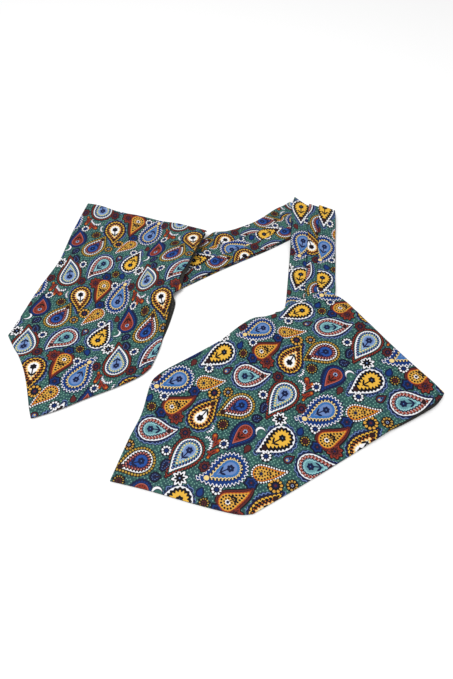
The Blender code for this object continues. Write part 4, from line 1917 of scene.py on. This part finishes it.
@dataclass
class NearStretch(Stretch):
    """The run from the fold at the corner to the near blade's throat."""

    def below_band(self, plan: Array) -> Array:
        """Distance in front of the far stretch's lower edge.

        Args:
            plan: places on the table.
        Returns:
            Distances, above zero in front of the edge.
        """
        line = curve(LOWER_RAIL)
        gaps = plan[..., None, :] - line
        nearest = np.argmin((gaps**2).sum(-1), axis=-1)
        heading = np.gradient(line, axis=0)[nearest]
        heading = heading / np.linalg.norm(heading, axis=-1, keepdims=True)
        gap = plan - line[nearest]
        return heading[..., 1] * gap[..., 0] - heading[..., 0] * gap[..., 1]

    def pleat(self, layer: int) -> tuple[Array, Array, float]:
        lip = NEAR_PLEAT_LIPS[layer]
        edge = PLEAT_EDGE_STEP * layer / BAND_WIDTH
        width = BAND_WIDTH * (lip - edge)
        over = stations(width, round(width / STRIP_PITCH))
        share = edge + (lip - edge) * over
        setback = np.interp(share, FOLD_SETBACK_SHARES, FOLD_SETBACK_ALONG)
        layers_above = len(NEAR_PLEAT_LIPS) - 1 - layer
        start = (FOLD_STEP * layers_above + setback) / NEAR_LENGTH
        end = 1.0 - NEAR_END_CUTS[layer] / NEAR_LENGTH
        down = 1.0 - stations(NEAR_LENGTH, round(NEAR_LENGTH / STRIP_PITCH), last=FOLD_ROWS)[::-1]
        plan = self.plan(share, start + (end - start) * down[:, None])
        climb = BAND_RISE * (1.0 - smooth(self.below_band(plan), *CLIMB_RUN))
        height = SILK / 2 + layer * LAYER + climb
        rails_end = self.plan(share, np.ones((1, len(share))))
        to_end = np.linalg.norm(plan - rails_end, axis=2)
        full = fullness(down, NEAR_LENGTH, over, width)
        if layer:
            taper = THROAT_THIN + (1.0 - THROAT_THIN) * smooth(to_end, NEAR_END_CUTS[layer], THROAT_FADE)
            sink = THROAT_SINK * (1.0 - smooth(to_end, 0.0, THROAT_FADE))
            under = LAYER + climb + THROAT_RISE * smooth(to_end, *THROAT_CLIMB) - sink
            height = under + ((layer - 1) * LAYER + SILK / 2) * taper
            full = full * taper
        to_fold = np.linalg.norm(plan - plan[:1], axis=2)
        height = folded_down(height, to_fold, BAND_FOLD_RADIUS, BAND_FOLD_LOW)
        height = height + creased(NEAR_BAND.back(plan), NEAR_BAND_CREASES[layer])
        return with_height(plan, height), full, width

    def seam(self, surface: Array) -> tuple[Array, Array]:
        plan = surface[..., :2]
        local = NEAR_BAND.back(plan)
        fold = np.array(THROAT_FOLD, float)
        past = local[..., 0] > np.interp(local[..., 1], fold[:, 1], fold[:, 0])
        return past, NEAR_LAY.spread(plan)


# Fold across the near stretch's end, past which its print is that of the blade
THROAT_FOLD = (
    (197.0, -56.0), (194.7, -50.4), (187.9, -44.5), (182.3, -37.4), (178.5, -30.1), (168.6, -20.7),
    (166.6, -12.5), (166.6, -5.1), (167.0, 3.1), (168.0, 8.0),
)
NEAR_BAND_CREASES = (
    (),
    (Crease(((178.5, -30.1), (171, -22.5), (167.2, -15), (166.6, -8)), -0.45, 1.6, 0.15),),
    (Crease(((172, -24), (167.2, -15), (166.2, -8), (166.4, 0), (168, 6)), -0.5, 1.6, 0.1),),
)


@dataclass
class Studio:
    """Camera at the photo's place, a pale floor and soft light from the upper left."""

    camera_at: tuple[float, float, float] = (10.08, -253.73, 355.634)
    tilt: float = 32.8
    lens: float = 22.16
    floor_size: float = 4000.0
    floor_dye: Colour = (0.99, 0.99, 0.99)
    world_strength: float = 0.70
    key_at: tuple[float, float, float] = (-480.0, -400.0, 1750.0)
    key_size: float = 1000.0
    key_power: float = 19.0

    def build(self) -> None:
        """Makes the camera, the floor and the lights."""
        scene = bpy.context.scene
        scene.view_settings.view_transform = "Standard"
        lens = bpy.data.cameras.new("photo_camera")
        lens.sensor_width = 36.0
        lens.lens = self.lens
        lens.clip_start = 0.01
        camera = bpy.data.objects.new("photo_camera", lens)
        camera.location = [length * MM for length in self.camera_at]
        camera.rotation_euler = (math.radians(self.tilt), 0.0, 0.0)
        scene.collection.objects.link(camera)
        scene.camera = camera

        half = self.floor_size * MM / 2
        mesh = bpy.data.meshes.new("floor")
        corners = [(-half, -half, 0.0), (half, -half, 0.0), (half, half, 0.0), (-half, half, 0.0)]
        mesh.from_pydata(corners, [], [(0, 1, 2, 3)])
        floor = bpy.data.objects.new("floor", mesh)
        scene.collection.objects.link(floor)
        material = bpy.data.materials.new("pale_floor")
        graph = Graph(material)
        shader = graph.node("ShaderNodeBsdfDiffuse", {}, {"Color": self.floor_dye})
        out = graph.tree.nodes.new("ShaderNodeOutputMaterial")
        graph.tree.links.new(shader.socket, out.inputs["Surface"])
        mesh.materials.append(material)

        world = bpy.data.worlds.new("studio")
        world.use_nodes = True
        world.node_tree.nodes["Background"].inputs["Color"].default_value = (1.0, 1.0, 1.0, 1.0)
        world.node_tree.nodes["Background"].inputs["Strength"].default_value = self.world_strength
        scene.world = world

        lamp = bpy.data.lights.new("key", "AREA")
        lamp.shape = "DISK"
        lamp.size = self.key_size * MM
        lamp.energy = self.key_power
        key = bpy.data.objects.new("key", lamp)
        key.location = [length * MM for length in self.key_at]
        aim = -np.array(self.key_at)
        key.rotation_euler = (
            math.atan2(math.hypot(aim[0], aim[1]), -aim[2]), 0.0, math.atan2(aim[1], aim[0]) - math.pi / 2,
        )
        scene.collection.objects.link(key)


NEAR_CREASES = (
    Crease(((196, 74), (201, 66), (205, 56)), -0.35, 2.2),
    Crease(((206, 70), (216, 62), (226, 48), (232, 34)), 0.9, 4.0),
)
FAR_CREASES = (
    Crease(((160, -58), (165, -72), (167, -88)), -0.7, 2.4),
    Crease(((166, -62), (170, -76), (171.5, -89)), 0.9, 2.6),
    Crease(((171, -66), (175, -78), (176, -90)), -0.9, 2.2),
    Crease(((262, 18), (270, 14), (277, 12)), 0.8, 6.0),
    Crease(((255, -8), (266, -12), (275, -14)), -0.5, 7.0),
)


def main() -> None:
    """Makes the cravat and the studio."""
    FarStretch(
        "far", UPPER_RAIL, LOWER_RAIL, FAR_LENGTH, FAR_STRIP_LAYS, (0.0100, 0.0066, 0.0033)
    ).build()
    NearStretch(
        "near", EAST_RAIL, WEST_RAIL, NEAR_LENGTH, NEAR_STRIP_LAYS, (0.0081, 0.0049, 0.0029)
    ).build()
    FarBlade(
        "far", FAR_PLACE, FAR_OUTLINE, {**FAR_OUTLINE, "right": FAR_BACK_RIGHT, "top": FAR_BACK_TOP}, FAR_TURN, FAR_LAY,
        FAR_CREASES, 0.0357, 0.0332,
    ).build()
    NearBlade(
        "near", NEAR_PLACE, NEAR_OUTLINE,
        {**NEAR_OUTLINE, "right": NEAR_BACK_RIGHT, "top": NEAR_BACK_TOP}, NEAR_TURN, NEAR_LAY, NEAR_CREASES, 0.0393, 0.0370,
    ).build()
    Studio().build()


if __name__ == "__main__":
    main()
